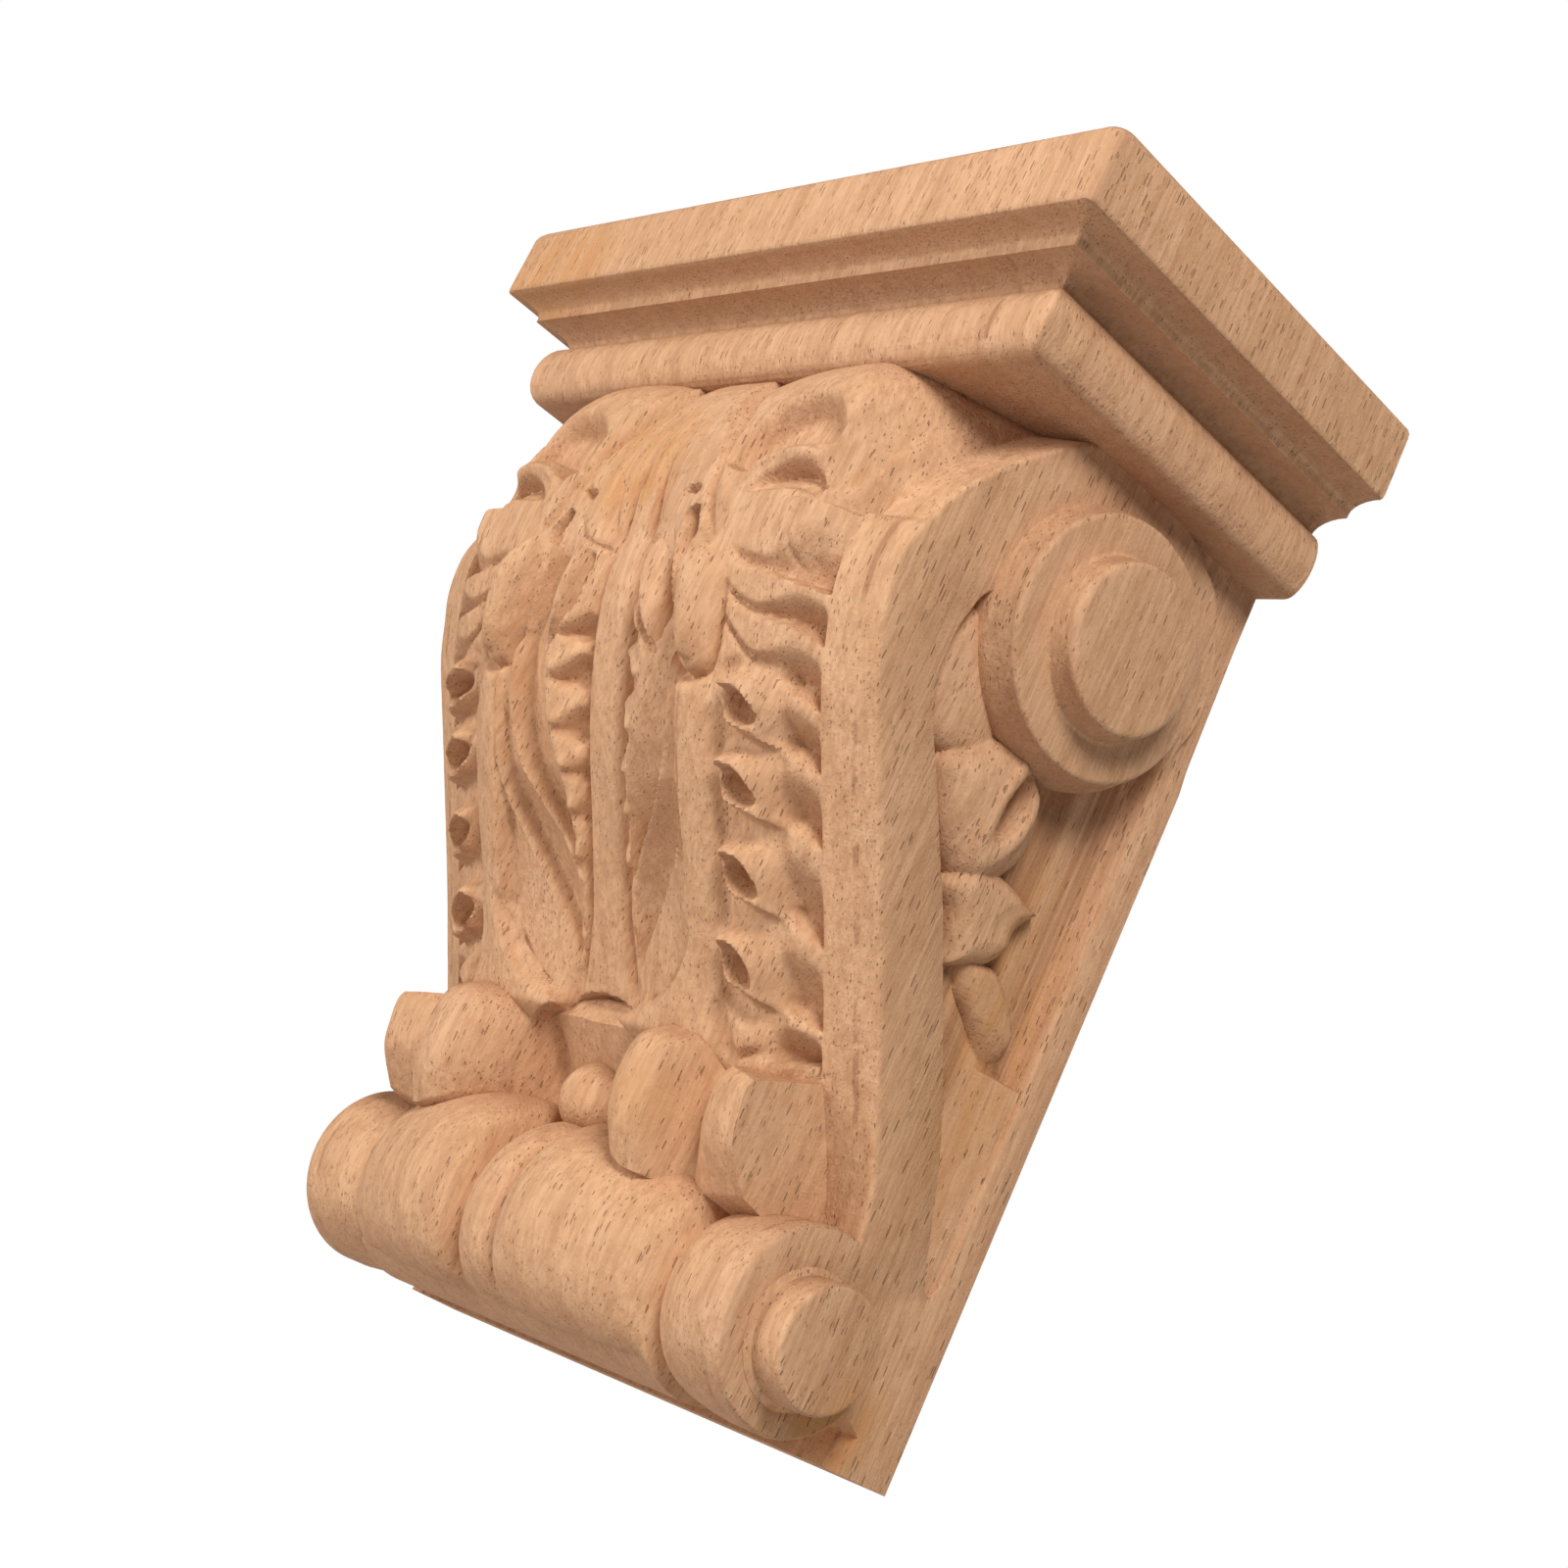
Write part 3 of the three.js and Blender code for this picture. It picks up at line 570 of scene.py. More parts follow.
FIELD = [
    (-6.8, 23.5), (-13, 38), (-18, 47), (-23, 55), (-28, 63), (-33, 70), (-38, 77), (-41, 81),
    (-43.4, 86), (-44, 91), (-43.5, 95), (-41.5, 99.5), (-34, 102), (-23, 99), (-12, 97), (-5.2, 98),
    (-4.8, 90), (-4.7, 60), (-4.7, 40), (-4.9, 27),
]
# Height over the side face and inset of the field's wall, from its floor to past its arris
FIELD_WALL = [
    (-FIELD_DEPTH, 0.75), (-FIELD_DEPTH + 0.25, 0.4), (-FIELD_DEPTH + 0.8, 0.25), (-0.7, 0.0),
    (-0.3, -0.1), (-0.08, -0.3), (0.1, -0.62), (1.5, -0.7),
]


def inset_outline(outline, inset):
    """A closed outline moved inwards by a distance, along the average of each point's two edge normals."""
    p = np.asarray(outline, float)
    ahead = np.roll(p, -1, 0) - p
    ahead /= np.linalg.norm(ahead, axis=1, keepdims=True)
    along = ahead + np.roll(ahead, 1, 0)
    along /= np.linalg.norm(along, axis=1, keepdims=True)
    normal = np.stack([-along[:, 1], along[:, 0]], -1)
    area = (p[:, 0] * np.roll(p[:, 1], -1) - p[:, 1] * np.roll(p[:, 0], -1)).sum()
    return p + normal * inset * np.sign(area)


def field_outline(inset):
    """The field's smooth outline, moved inwards by a distance."""
    return inset_outline(rounded(FIELD, closed=True, per_span=5)[:-1], inset)


def at_x(x, outline):
    """A (y, z) outline as points at one place across, or at a place for each point."""
    return np.column_stack([np.broadcast_to(x, len(outline)), outline])


def field_cutter(side):
    """A cutter whose walls lean out a little and flare at the top, so that the field's arris is soft."""
    rows = [at_x(side * (BODY_HALF_WIDTH + level), field_outline(inset)) for level, inset in FIELD_WALL]
    return closed_loft("field_cutter", rows)


# Scrolls, roll, bar and cap

AXIS_RADIUS = 0.02  # of the small flat face that closes a turned body on its axis


def shoulder(radius, foot, top, soft, steps=4):
    """(radius, x) pairs of a wall that ends in a quarter round: radius - soft (1 - cos a) against
    top - soft (1 - sin a)."""
    pairs = [(radius, foot)]
    for a in np.linspace(0, np.pi / 2, steps + 1):
        pairs.append((radius - soft * (1 - math.cos(a)), top - soft * (1 - math.sin(a))))
    return pairs


def scroll(side):
    """Raised disc with a button: a profile of walls with rounded shoulders, turned about the scroll's
    centre, from inside the body out."""
    disc = BODY_HALF_WIDTH + SCROLL_RISE
    button = BODY_HALF_WIDTH + SCROLL_BUTTON_RISE
    profile = [(AXIS_RADIUS, 42), (17.9, 42), (17.9, BODY_HALF_WIDTH - 0.4), (17.7, BODY_HALF_WIDTH + 0.4)]
    profile += shoulder(SCROLL_RADIUS, disc - 1.0, disc, 0.8, 5)
    profile += [(12.0, disc), (11.5, disc + 0.15), (11.3, disc + 0.5)]
    profile += shoulder(SCROLL_BUTTON_RADIUS, button - 1.4, button, 1.0, 5)
    profile += [(6, button + 0.1), (AXIS_RADIUS, button + 0.15)]
    return turned("scroll", side, profile, SCROLL_CENTRE, 96)


def ring_step(side):
    """Cutter that lowers the rear upper corner of a side, behind the outer arc of the scroll's ring."""
    arc = [(-20, 124.5), (-16, 123.5), (-12, 121.7), (-8, 119.5), (-5, 115), (-3, 111), (-2, 107),
           (-2.2, 103), (-3.6, 98.5), (-4.4, 94)]
    outline = np.vstack([rounded(arc, per_span=4), (2, 94), (2, 127), (-20, 127)])
    deep = BODY_HALF_WIDTH - RING_STEP * smooth(outline[:, 1], 94, 104)
    return closed_loft("ring_step", [at_x(side * deep, outline), at_x(side * 55.0, outline)])


# Places across the roll, and how far the surface stands out from ROLL_RADIUS there: a bead in the middle,
# a long bulb at each side of it, a groove and a plain neck
BULBS = [
    (0, 4.1), (1.4, 4.0), (2.6, 3.5), (3.6, 2.6), (4.4, 1.1), (4.9, -0.2), (5.2, -0.2), (5.5, 1.4),
    (6.0, 3.3), (6.8, 4.7), (7.8, 5.4), (9.2, 5.8), (11, 6.0), (13, 6.05), (16, 5.9), (20, 5.3), (24, 4.4),
    (28, 3.2), (30, 2.3), (31.4, 1.4), (32.6, 0.1), (33.4, -1.3), (34.0, -2.6), (34.5, -2.9), (34.9, -1.7),
    (35.5, -1.1), (37, -0.7), (40, -0.25), (43, 0), (46, 0), (47.6, 0), (48.0, -0.15), (48.3, -0.5),
]
NECK_FROM = 33.5
BULB_FACING = 0.44  # angle over straight ahead at which the bulbs are fullest
BULB_SPREAD = 1.34  # angle from there at which they end


def roll():
    """Roll at the foot: circles whose radius follows the bulbs. They fade beneath and behind as
    ((cos(angle - facing) - cos spread) / (1 - cos spread))^0.45 falls to 0, and the neck doesn't."""
    half_x = np.unique(np.concatenate([
        [place for place, _ in BULBS], np.arange(0.4, 8, 0.4), np.arange(8.5, 31, 1.0),
        np.arange(31, 35, 0.4),
    ]))
    x = mirrored(half_x)
    angle = np.linspace(0, 2 * np.pi, 104, endpoint=False)
    rise = through(*zip(*BULBS), np.abs(x))[:, None]
    end = math.cos(BULB_SPREAD)
    facing = np.clip((np.cos(angle - BULB_FACING) - end) / (1 - end), 0, 1)[None, :] ** 0.45
    neck = np.abs(x)[:, None] > NECK_FROM
    radius = ROLL_RADIUS + np.where(neck, rise, rise * facing)
    y = ROLL_AXIS[0] - radius * np.cos(angle)
    z = ROLL_AXIS[1] + radius * np.sin(angle)
    return closed_loft("roll", np.stack([np.broadcast_to(x[:, None], y.shape), y, z], -1))


def roll_button(side):
    """Tapering round button on each end of the roll, with a softened shoulder."""
    end = BODY_HALF_WIDTH + ROLL_BUTTON_RISE
    profile = [(AXIS_RADIUS, 44), (8.4, 44), (8.4, BODY_HALF_WIDTH + 0.1)]
    profile += shoulder(ROLL_BUTTON_RADIUS, BODY_HALF_WIDTH + 0.6, end, 0.7)
    profile += [(AXIS_RADIUS, end + 0.05)]
    return turned("roll_button", side, profile, ROLL_BUTTON_CENTRE, 72)


# The bar of curled tips above the roll: (y, z) sections at places across, each from the leaf's foot over
# the crest and down the front to the roll
BAR = [
    (0, [(-31.4, 43), (-33, 39.3), (-30.8, 36.8), (-29, 34.7), (-26.5, 31), (-24.5, 27)]),
    (6, [(-31.6, 42.8), (-33.2, 39.3), (-31, 36.8), (-29, 34.5), (-26.2, 31), (-24, 27)]),
    (9, [(-32, 41), (-32.8, 39), (-30.2, 37), (-27.5, 34.5), (-25.5, 31), (-24.5, 27)]),
    (11, [(-32.4, 40.2), (-32.2, 38.4), (-29.4, 37), (-27.6, 34.5), (-26.6, 31.5), (-26, 28.5)]),
    (13, [(-32.8, 39.8), (-33.6, 37.9), (-34, 36.2), (-33.6, 33.3), (-32.4, 30.4), (-30, 28)]),
    (16, [(-33.2, 40), (-36, 39.1), (-37.8, 37), (-38.2, 33.4), (-37.2, 29.4), (-34.4, 26.2)]),
    (20, [(-33.4, 40.6), (-37, 40.2), (-39.9, 37.6), (-40.7, 33), (-40.1, 27.8), (-37.2, 23.2)]),
    (24, [(-33.2, 40.4), (-36.9, 40), (-39.8, 37.4), (-40.6, 32.8), (-40, 26.8), (-37.2, 21.8)]),
    (26.4, [(-32.8, 40), (-36.2, 39.4), (-38.8, 36.9), (-39.4, 32.7), (-38.6, 27), (-36, 21.8)]),
    (27.8, [(-32.4, 39.4), (-34, 37.8), (-35.2, 35.8), (-35.2, 32.5), (-34.4, 27.8), (-32.4, 22.2)]),
    (28.8, [(-32, 38.6), (-32.4, 36.6), (-32.8, 35), (-32.8, 32.3), (-32.2, 28.3), (-30.8, 22.5)]),
    (30, [(-31.8, 38.8), (-33.2, 37), (-34, 35.2), (-34, 32.4), (-33.2, 28.4), (-30.6, 22.6)]),
    (32, [(-31.4, 39), (-35, 37.5), (-36, 35.4), (-36, 32.4), (-34.9, 28.5), (-30.8, 22.6)]),
    (35, [(-30.8, 38.6), (-36.2, 37), (-37, 35.2), (-36.9, 32.4), (-35.9, 28.4), (-31.4, 22.8)]),
    (39.8, [(-28.5, 39.5), (-37.2, 36), (-37.7, 34.6), (-37.4, 32), (-36.2, 28), (-32, 23.4)]),
]


def curl_bar():
    """Closed body through the bar's sections, with their crest kept crisp and flat ends that lean outwards
    towards the back."""
    places, sections = zip(*BAR)
    x = mirrored(np.concatenate([np.arange(0, 36, 0.45), np.linspace(36, 39.8, 9)]))
    across = np.abs(x)
    nodes = through(places, np.array(sections), across).transpose(1, 0, 2)
    # the crest's node comes twice, so the curve has a corner there
    nodes = np.concatenate([nodes[:2], nodes[1:]])
    down_front = np.concatenate([np.linspace(0, 1, 7), np.linspace(2, 6, 33)[1:]])
    run = curve_at(nodes, down_front).transpose(1, 0, 2)
    ring = np.concatenate([repeated([(-20, 43)], len(x)), run, repeated([(-20, 20)], len(x))], axis=1)
    lean = 1.5 * np.clip((across - 36) / 3.8, 0, 1)[:, None] * (ring[..., 0] + 37.4) / 13.4
    outward = x[:, None] + np.sign(x)[:, None] * lean
    return closed_loft("curl_bar", np.concatenate([outward[..., None], ring], axis=2))


BAR_BOSS_CENTRE = (0, -25.8, 30.4)
BAR_BOSS_RADII = (6.2, 6.6, 5.6)


def bar_boss(steps=28):
    """The small tip in the middle of the bar: a unit sphere stretched to three radii."""
    pole = 0.02  # angle from the axis at which its ends are cut flat
    polar = np.linspace(pole, np.pi - pole, steps)[:, None]
    angle = np.linspace(0, 2 * np.pi, steps * 2, endpoint=False)[None, :]
    unit = np.stack([
        np.cos(polar) + 0 * angle, np.sin(polar) * np.cos(angle), np.sin(polar) * np.sin(angle),
    ], -1)
    return closed_loft("bar_boss", unit * BAR_BOSS_RADII + BAR_BOSS_CENTRE)


TORUS_INSET = 6.8
TORUS_BULGE = 2.5
TORUS_HALF_HEIGHT = 4.85
# Each cove's inset and height at its foot, then how far it comes out and how far it rises
LOWER_COVE = (9.3, 133.4, 4.7, 2.6)
UPPER_COVE = (4.6, 136.5, 4.2, 2.2)
TOP_ROUND = 2.0  # radius of the slab's upper arris


def cove(inset, foot, out, up, corner):
    """Levels of a hollow quarter moulding, upright at its foot and level at its top:
    inset - out (1 - cos a) and foot + up sin a."""
    angles = np.linspace(0, np.pi / 2, 7)[1:]
    return [(inset - out * (1 - math.cos(a)), foot + up * math.sin(a), corner) for a in angles]


def cap_levels():
    """(inset, height, corner radius) up the cap: a torus, two coves with a fillet between, and the slab."""
    levels = []
    for a in np.linspace(-np.pi / 2, np.pi / 2, 13):
        height = BODY_HEIGHT + TORUS_HALF_HEIGHT + TORUS_HALF_HEIGHT * math.sin(a)
        levels.append((TORUS_INSET + TORUS_BULGE * (1 - math.cos(a)), height, 0.6))
    levels += cove(*LOWER_COVE, 0.4) + [(4.6, 136.45, 0.4)] + cove(*UPPER_COVE, 0.5)
    slab_top = HEIGHT - TOP_ROUND
    levels += [(0.15, 138.9, 1.0), (0.0, 139.4, 1.4), (0.0, slab_top, 1.6)]
    for a in np.linspace(0, np.pi / 2, 5)[1:]:
        up = math.sin(a)
        levels.append((TOP_ROUND * (1 - math.cos(a)), slab_top + TOP_ROUND * up, 1.6 + 0.8 * up))
    return levels


def cap():
    """The moulded cap: at each level a rectangle with rounded front corners, inset from the slab's edge."""
    rows = []
    corner = np.linspace(0, np.pi / 2, 6)
    for inset, z, soft in cap_levels():
        side, front = CAP_HALF_WIDTH - inset, -(CAP_DEPTH - inset)
        left = np.stack([-side + soft * (1 - np.cos(corner)), front + soft * (1 - np.sin(corner))], -1)
        right = np.stack([-left[::-1, 0], left[::-1, 1]], -1)
        ring = np.vstack([(-side, 0), left, right, (side, 0)])
        rows.append(np.column_stack([ring, np.full(len(ring), z)]))
    return closed_loft("cap", rows)


# Leaf drop carved in each sunk field

DROP_SPACING = 0.36
BURIED = -0.6  # height of the block where nothing of the drop shows, under the field's floor
DROP_STEM = [
    (-44.6, 94), (-44.2, 88), (-42.9, 83.6), (-40.4, 80.4), (-36.6, 79.8), (-33, 80.6), (-29, 83),
    (-31, 88), (-36, 94), (-41, 98),
]
DROP_BUD = [
    (-37.4, 79.4), (-36.2, 76), (-34, 72.6), (-31, 69.6), (-27.6, 67.6), (-24.4, 68.2), (-21.8, 70.2),
    (-19.4, 73.4), (-18.5, 76.8), (-19.2, 80.6), (-21.4, 84), (-25, 86.6), (-31, 86), (-35, 82.4),
]
DROP_HUSK = [
    (-22.5, 72), (-18.4, 71.8), (-16, 71.2), (-12.6, 70.6), (-13.9, 68.9), (-15.1, 66.6), (-15.4, 64),
    (-17.2, 61.5), (-20.6, 59.6), (-24, 58.2), (-24.8, 60.8), (-26.6, 64.2), (-29, 67), (-27, 71),
]
DROP_TONGUE = [
    (-21, 61), (-15.6, 62), (-12, 60.2), (-9.4, 58), (-7.9, 55.4), (-8, 52.8), (-9.4, 50.7),
    (-10.8, 50.2), (-12.6, 51.4), (-16, 54.2), (-20, 57.2),
]


def drop_height(y, z):
    """Height over the field's floor: the fill below the drop, its tongue, husk and stem, and a rolled bud
    with a ring round its eye."""
    fill = 2.9 * smooth(z, 50.9, 50.2) * np.clip((y + 15) / 10.5, 0.2, 1)
    tongue = 2.8 * dome(y, z, DROP_TONGUE, 2.6) * smooth(z, 49, 56)
    husk = BURIED + 4.2 * dome(y, z, DROP_HUSK, 3.4) - 0.5 * oval(y, z, (-17.5, 67), (4, 2.6), 0.6)
    rise = np.maximum(np.maximum(BURIED + fill, BURIED + tongue), husk)
    rise = np.maximum(rise, BURIED + 2.6 * dome(y, z, DROP_STEM, 4))
    rise = np.maximum(rise, BURIED + 5.0 * dome(y, z, DROP_BUD, 6.5))
    eye = oval_radius(y, z, (-25.4, 79.0), (1.9, 5.4), -0.22)
    on_bud = smooth(within(y, z, rounded(DROP_BUD, closed=True)), 0.2, 2)
    rise += 0.6 * np.exp(-(((eye - 1.5) / 0.45) ** 2)) * on_bud
    return rise - 5.2 * smooth(eye, 1.0, 0.62)


def drop(side):
    """The drop as a block of heights over the field's floor, standing out from the side and kept inside
    the field's outline."""
    across = np.arange(-45.2, -4.3, DROP_SPACING)
    along = np.concatenate([np.arange(23, 48, 2 * DROP_SPACING), np.arange(48, 98.5, DROP_SPACING)])
    y, z = np.meshgrid(across, along, indexing="ij")
    floor = BODY_HALF_WIDTH - FIELD_DEPTH
    block = height_block("drop", side, y, z, floor + drop_height(y, z), floor - 2.0)
    outline = field_outline(-0.5)
    ends = [at_x(side * x, outline) for x in (40.0, 60.0)]
    keep = block.modifiers.new("keep", "BOOLEAN")
    keep.solver = "MANIFOLD"
    keep.operation = "INTERSECT"
    keep.object = closed_loft("field_shape", ends)
    return block


# One piece of wood

def joined(base, added, removed):
    """The base with solids cut from it and others joined to it, as one closed mesh."""
    for group, way in ((removed, "DIFFERENCE"), (added, "UNION")):
        for other in group:
            step = base.modifiers.new("join", "BOOLEAN")
            step.solver = "MANIFOLD"
            step.operation = way
            step.object = other
    graph = bpy.context.evaluated_depsgraph_get()
    mesh = bpy.data.meshes.new_from_object(base.evaluated_get(graph))
    base.modifiers.clear()
    base.data = mesh
    for other in added + removed:
        for step in list(other.modifiers):
            bpy.data.objects.remove(step.object)
        bpy.data.objects.remove(other)
    return base


SHARP_DEGREES = 50

sides = (-1, 1)
removed = [make(side) for side in sides for make in (field_cutter, ring_step)]
added = [cap(), roll(), curl_bar(), bar_boss()]
added += [make(side) for side in sides for make in (scroll, roll_button, drop)]
corbel = joined(body, added, removed)
corbel.name = "carved_corbel_wood"
corbel.data.set_sharp_from_angle(angle=math.radians(SHARP_DEGREES))
print("triangles", sum(len(p.vertices) - 2 for p in corbel.data.polygons))


# Material

PALE_WOOD = (0.73, 0.425, 0.238)
DARK_WOOD = (0.50, 0.25, 0.12)
PINK_WOOD = (0.74, 0.445, 0.28)
RED_WOOD = (0.40, 0.19, 0.095)
# orange of the streak patches, also used for the painted shade under the end of the roll
ORANGE_WOOD_AND_PAINTED_SHADE = (0.60, 0.27, 0.085)
PORE_WOOD = (0.20, 0.085, 0.04)
# Centre, half sizes and strength of each place where orange streaks gather, in metres in the frame; the
# third, on the side under the end of the roll, is painted shade laid in as orange streaks
ORANGE_STREAKS_AND_PAINTED_SHADE = [
    ((-0.004, -0.062, 0.032), (0.014, 0.02, 0.012), 0.75),
    ((-0.05, -0.064, 0.066), (0.02, 0.012, 0.012), 0.6),
    # painted shade: darkens the side near the foot where the roll's end casts its shadow
    ((0.0483, -0.014, -0.070), (0.012, 0.012, 0.010), 0.8),
    ((0.045, -0.012, -0.02), (0.012, 0.012, 0.034), 0.5),
    ((0.02, -0.04, -0.045), (0.012, 0.02, 0.008), 0.3),
]
FIELD_FLOOR = 0.0451  # across from the middle, in metres
RINGS_PER_METRE = 165.0
BUMP_DEPTH = 0.0003
# Cells a metre and half width, as a share of a cell, of each size of pore
PORE_SIZES = [((1800, 1800, 230), 0.21), ((2700, 2700, 430), 0.2)]


class Nodes:
    """Short names for building a node tree."""

    def __init__(self, material):
        self.tree = material.node_tree

    def add(self, kind, inputs=None, **settings):
        node = self.tree.nodes.new(kind)
        for key, value in settings.items():
            setattr(node, key, value)
        for key, value in (inputs or {}).items():
            socket = node.inputs[key]
            if isinstance(value, bpy.types.NodeSocket):
                self.tree.links.new(value, socket)
            else:
                socket.default_value = value
        return node

    def maths(self, operation, a, b=0.0):
        return self.add("ShaderNodeMath", {0: a, 1: b}, operation=operation).outputs[0]

    def times(self, a, b):
        return self.maths("MULTIPLY", a, b)

    def length(self, vector):
        node = self.add("ShaderNodeVectorMath", {0: vector}, operation="LENGTH")
        return node.outputs["Value"]

    def stretch(self, coordinates, scale, location=(0, 0, 0)):
        node = self.add("ShaderNodeMapping", {"Vector": coordinates, "Scale": scale, "Location": location})
        return node.outputs[0]

    def noise(self, coordinates, scale, detail=2.0, rough=0.5):
        node = self.add("ShaderNodeTexNoise", {
            "Vector": coordinates, "Scale": scale, "Detail": detail, "Roughness": rough,
        })
        return node.outputs["Fac"]

    def ramp(self, factor, stops):
        node = self.add("ShaderNodeValToRGB", {"Fac": factor})
        while len(node.color_ramp.elements) < len(stops):
            node.color_ramp.elements.new(0.5)
        for element, (place, colour) in zip(node.color_ramp.elements, stops):
            element.position = place
            element.color = (*colour, 1)
        return node.outputs["Color"]

    def span(self, value, low, high, to_low=0.0, to_high=1.0):
        """Smooth step from one value at low to another at high; low may be the larger."""
        return self.add("ShaderNodeMapRange", {
            "Value": value, "From Min": low, "From Max": high, "To Min": to_low, "To Max": to_high,
        }, interpolation_type="SMOOTHSTEP").outputs["Result"]

    def on_field_floor(self, coordinates):
        """1 within 0.2 mm of the planes of the two sunk fields' floors, and 0 from 0.6 mm off."""
        sideways = self.add("ShaderNodeSeparateXYZ", {"Vector": coordinates}).outputs["X"]
        over = self.maths("SUBTRACT", self.maths("ABSOLUTE", sideways), FIELD_FLOOR)
        return self.span(self.maths("ABSOLUTE", over), 0.0006, 0.0002)

    def blend(self, factor, base, colour):
        """The base colour, from a node or not, mixed with another one by a factor; 6 and 7 are the node's
        colour inputs, and 2 its colour output."""
        if not isinstance(base, bpy.types.NodeSocket):
            base = (*base, 1)
        inputs = {"Factor": factor, 6: base, 7: (*colour, 1)}
        return self.add("ShaderNodeMix", inputs, data_type="RGBA").outputs[2]


def wood_colour(n, where, fibre, end_grain, pores):
    """Colour of the wood: ring bands, patches, streaks along the grain, redder end grain and dark pores,
    with a patch of painted shade on each side under the end of the roll.
    """
    # growth rings about a pith that is far to the left and behind the wall, wavering along the grain
    waver = n.noise(n.stretch(where, (14, 14, 4)), 1.0, 3.0)
    radius = n.length(n.stretch(where, (1, 1, 0.06), (0.16, -0.05, 0)))
    rings = n.maths("ADD", n.times(radius, RINGS_PER_METRE), n.times(waver, 3.2))
    stops = [(0.0, (0, 0, 0)), (0.55, (0.25, 0.25, 0.25)), (0.9, (1, 1, 1)), (1.0, (0, 0, 0))]
    base = n.blend(n.times(n.ramp(n.maths("FRACT", rings), stops), 0.34), PALE_WOOD, DARK_WOOD)
    # broad patches, fine fibre streaks and a mottle of small spots
    broad = n.noise(n.stretch(where, (34, 34, 10)), 1.0, 3.0)
    mottle = n.noise(n.stretch(where, (700, 700, 260)), 1.0, 4.0, 0.7)
    layers = [(broad, 0.35, 0.72, 0.45, PINK_WOOD), (fibre, 0.35, 0.75, 0.5, DARK_WOOD),
              (mottle, 0.42, 0.68, 0.5, DARK_WOOD)]
    for noise, low, high, strength, colour in layers:
        base = n.blend(n.span(noise, low, high, 0.0, strength), base, colour)
    # long darker lines, strongest in the sunk fields
    grain = n.span(n.noise(n.stretch(where, (420, 520, 7), (0.4, 0.2, 0.1)), 1.0, 3.0, 0.6), 0.46, 0.64)
    base = n.blend(n.times(grain, n.span(n.on_field_floor(where), 0, 1, 0.2, 0.85)), base, RED_WOOD)
    # orange streaks, gathered in a few places, one of them painted shade under the end of the roll
    long_noise = n.noise(n.stretch(where, (330, 330, 45), (0.31, 0.1, 0.2)), 1.0, 2.0, 0.6)
    streaks = n.span(n.span(long_noise, 0.38, 0.62), 0, 1, 0.35, 1.0)
    for at, size, strength in ORANGE_STREAKS_AND_PAINTED_SHADE:
        centred = n.stretch(where, tuple(1 / r for r in size), tuple(-a / r for a, r in zip(at, size)))
        patch = n.times(n.span(n.length(centred), 1.0, 0.3, 0.0, strength), streaks)
        base = n.blend(patch, base, ORANGE_WOOD_AND_PAINTED_SHADE)
    base = n.blend(n.times(end_grain, 0.55), base, RED_WOOD)
    return n.blend(n.times(pores, 0.55), base, PORE_WOOD)


def wood_pores(n, where):
    """Short dashes along the grain, dots on the end grain: one in each cell by chance, and more where they
    gather."""
    gather = n.noise(n.stretch(where, (70, 70, 22)), 1.0, 2.0)
    pores = 0.0
    for cells, half_width in PORE_SIZES:
        cell = n.add("ShaderNodeTexVoronoi", {"Vector": n.stretch(where, cells), "Scale": 1.0})
        chance = n.add("ShaderNodeSeparateColor", {"Color": cell.outputs["Color"]}).outputs["Red"]
        width = n.times(n.span(n.maths("ADD", chance, gather), 0.72, 1.25), half_width)
        dash = n.span(n.maths("SUBTRACT", width, cell.outputs["Distance"]), 0.0, 0.05)
        pores = n.maths("MAXIMUM", pores, dash)
    return pores


def wood_relief(n, where, fibre, end_grain, pores):
    """Height of the surface: fibres, fuzz, the level lines that a cutter leaves, and the sunk pores."""
    fuzz = n.noise(where, 2300.0, 3.0, 0.65)
    lines = n.noise(n.stretch(where, (12, 12, 1700)), 1.0, 1.0)
    height = n.maths("ADD", n.times(fibre, 0.45), n.times(fuzz, n.span(end_grain, 0, 1, 0.4, 1.0)))
    height = n.maths("ADD", height, n.times(lines, 0.22))
    return n.maths("SUBTRACT", height, n.times(pores, 1.4))


def bare_wood():
    """Unfinished pale hardwood with upright grain."""
    material = bpy.data.materials.new("bare_wood")
    material.use_nodes = True
    n = Nodes(material)
    shader = material.node_tree.nodes["Principled BSDF"]
    coordinates = n.add("ShaderNodeTexCoord").outputs
    where = coordinates["Object"]
    fibre = n.noise(n.stretch(where, (1700, 1700, 75)), 1.0, 2.0, 0.6)
    # a face that looks up or down shows end grain
    upward = n.add("ShaderNodeSeparateXYZ", {"Vector": coordinates["Normal"]}).outputs["Z"]
    end_grain = n.span(n.maths("ABSOLUTE", upward), 0.4, 0.95)
    pores = wood_pores(n, where)
    height = wood_relief(n, where, fibre, end_grain, pores)
    bump = n.add("ShaderNodeBump", {"Height": height, "Strength": 1.0, "Distance": BUMP_DEPTH})
    link = material.node_tree.links.new
    link(wood_colour(n, where, fibre, end_grain, pores), shader.inputs["Base Color"])
    link(n.span(fibre, 0.2, 0.8, 0.66, 0.82), shader.inputs["Roughness"])
    link(bump.outputs["Normal"], shader.inputs["Normal"])
    shader.inputs["Specular IOR Level"].default_value = 0.22
    return material


corbel.data.materials.clear()
corbel.data.materials.append(bare_wood())
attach(corbel, "root")
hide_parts("carved_corbel")


# Floor, light and camera

FLOOR_REACH = 0.9
FLOOR_LEVEL = -0.32

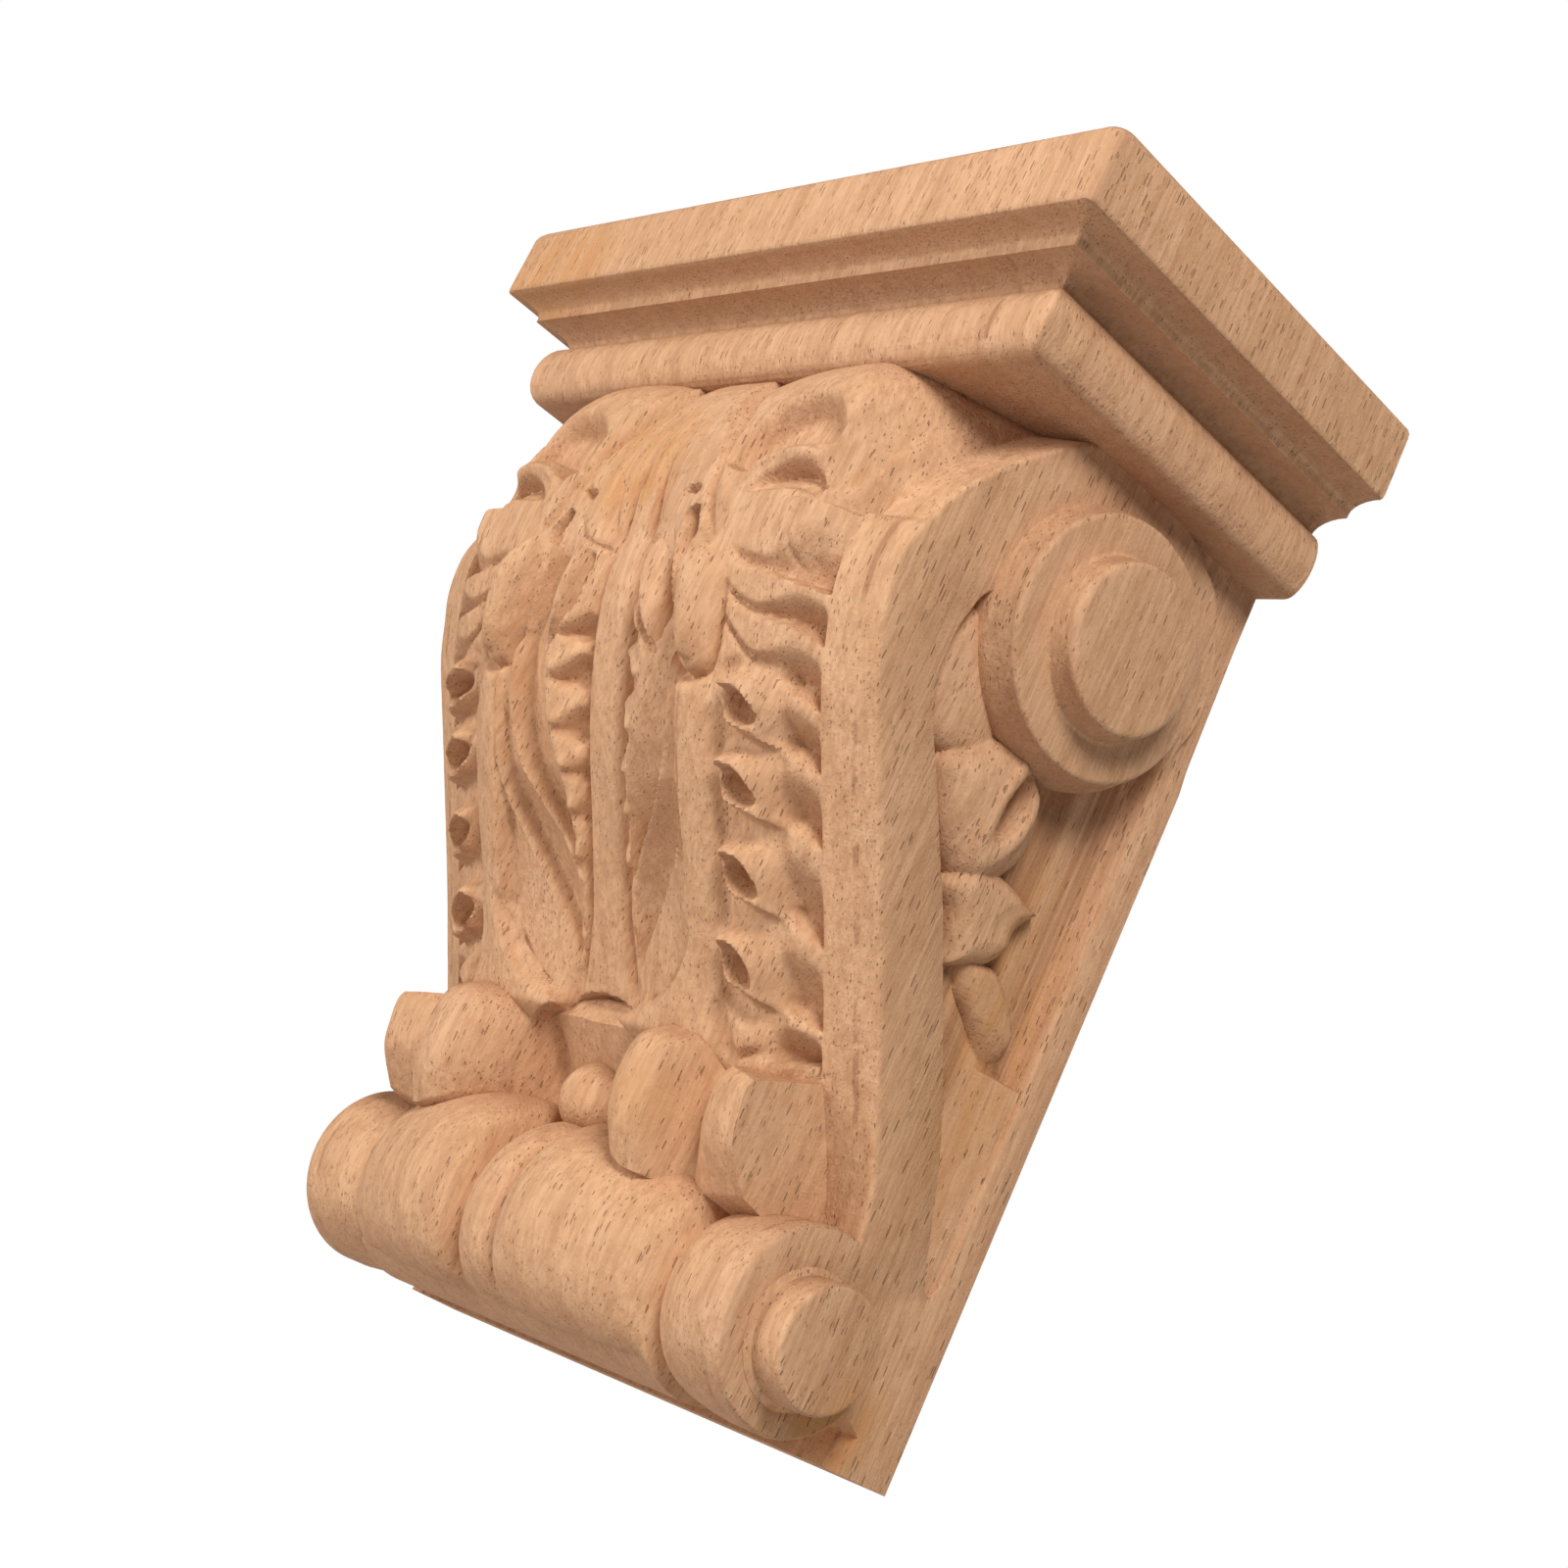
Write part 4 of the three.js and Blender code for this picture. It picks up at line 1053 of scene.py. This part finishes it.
matt = bpy.data.materials.new("floor")
matt.use_nodes = True
matt_shader = matt.node_tree.nodes["Principled BSDF"]
matt_shader.inputs["Base Color"].default_value = (0.9, 0.9, 0.9, 1)
matt_shader.inputs["Roughness"].default_value = 0.9
corners = [(FLOOR_REACH * x, FLOOR_REACH * y, FLOOR_LEVEL) for x, y in ((-1, -1), (1, -1), (1, 1), (-1, 1))]
floor_mesh = bpy.data.meshes.new("floor")
floor_mesh.from_pydata(corners, [], [(0, 1, 2, 3)])
floor_mesh.materials.append(matt)
floor = bpy.data.objects.new("floor", floor_mesh)
bpy.context.scene.collection.objects.link(floor)


def placed_at(origin, right, up, back):
    """The matrix of an object at an origin, from the directions of its three axes."""
    return Matrix([[right[k], up[k], back[k], origin[k]] for k in range(3)] + [[0, 0, 0, 1]])


def lamp(name, at, aim, size, power, colour=(1, 1, 1)):
    """A square area light at a place, facing a point."""
    light = bpy.data.lights.new(name, "AREA")
    light.shape = "SQUARE"
    light.size = size
    light.energy = power
    light.color = colour
    holder = bpy.data.objects.new(name, light)
    away = np.subtract(at, aim)
    away = away / np.linalg.norm(away)
    side = np.cross((0, 0, 1), away)
    side /= np.linalg.norm(side)
    holder.matrix_world = placed_at(at, side, np.cross(away, side), away)
    bpy.context.scene.collection.objects.link(holder)


lamp("key", (0.60, -0.52, 0.50), (0, -0.03, 0), 0.35, 7.1, (1, 0.99, 0.97))
lamp("fill", (-0.36, -0.82, 0.08), (0, -0.03, 0), 0.35, 4.3)
lamp("back", (-0.25, 0.85, 0.45), (0, 0, 0), 0.6, 6.0)

# A world that the camera sees as white and that lights the part only faintly
world = bpy.data.worlds.new("studio")
bpy.context.scene.world = world
world.use_nodes = True
tree = world.node_tree
tree.nodes.clear()
kinds = ("Background", "Background", "LightPath", "MixShader", "OutputWorld")
lit, seen, path, pick, out = (tree.nodes.new("ShaderNode" + kind) for kind in kinds)
for background, strength in ((lit, 0.05), (seen, 1.0)):
    background.inputs["Color"].default_value = (1, 1, 1, 1)
    background.inputs["Strength"].default_value = strength
tree.links.new(path.outputs["Is Camera Ray"], pick.inputs[0])
tree.links.new(lit.outputs[0], pick.inputs[1])
tree.links.new(seen.outputs[0], pick.inputs[2])
tree.links.new(pick.outputs[0], out.inputs[0])
bpy.context.scene.view_settings.view_transform = "Standard"

# Where the photograph was taken from, in metres, and the directions of the picture's right and up and of
# the way back from the part
CAMERA_PLACE = (0.26492, -0.21825, -0.08195)
CAMERA_RIGHT = (0.626708, 0.663504, 0.408656)
CAMERA_UP = (-0.064965, -0.478107, 0.875896)
CAMERA_BACK = (0.776541, -0.575479, -0.256529)

camera_data = bpy.data.cameras.new("camera")
camera_data.lens = 57.45
camera_data.sensor_width = 36.0
camera_data.clip_start = 0.01
camera_data.clip_end = 50.0
camera = bpy.data.objects.new("camera", camera_data)
camera.matrix_world = placed_at(CAMERA_PLACE, CAMERA_RIGHT, CAMERA_UP, CAMERA_BACK)
bpy.context.scene.collection.objects.link(camera)
bpy.context.scene.camera = camera
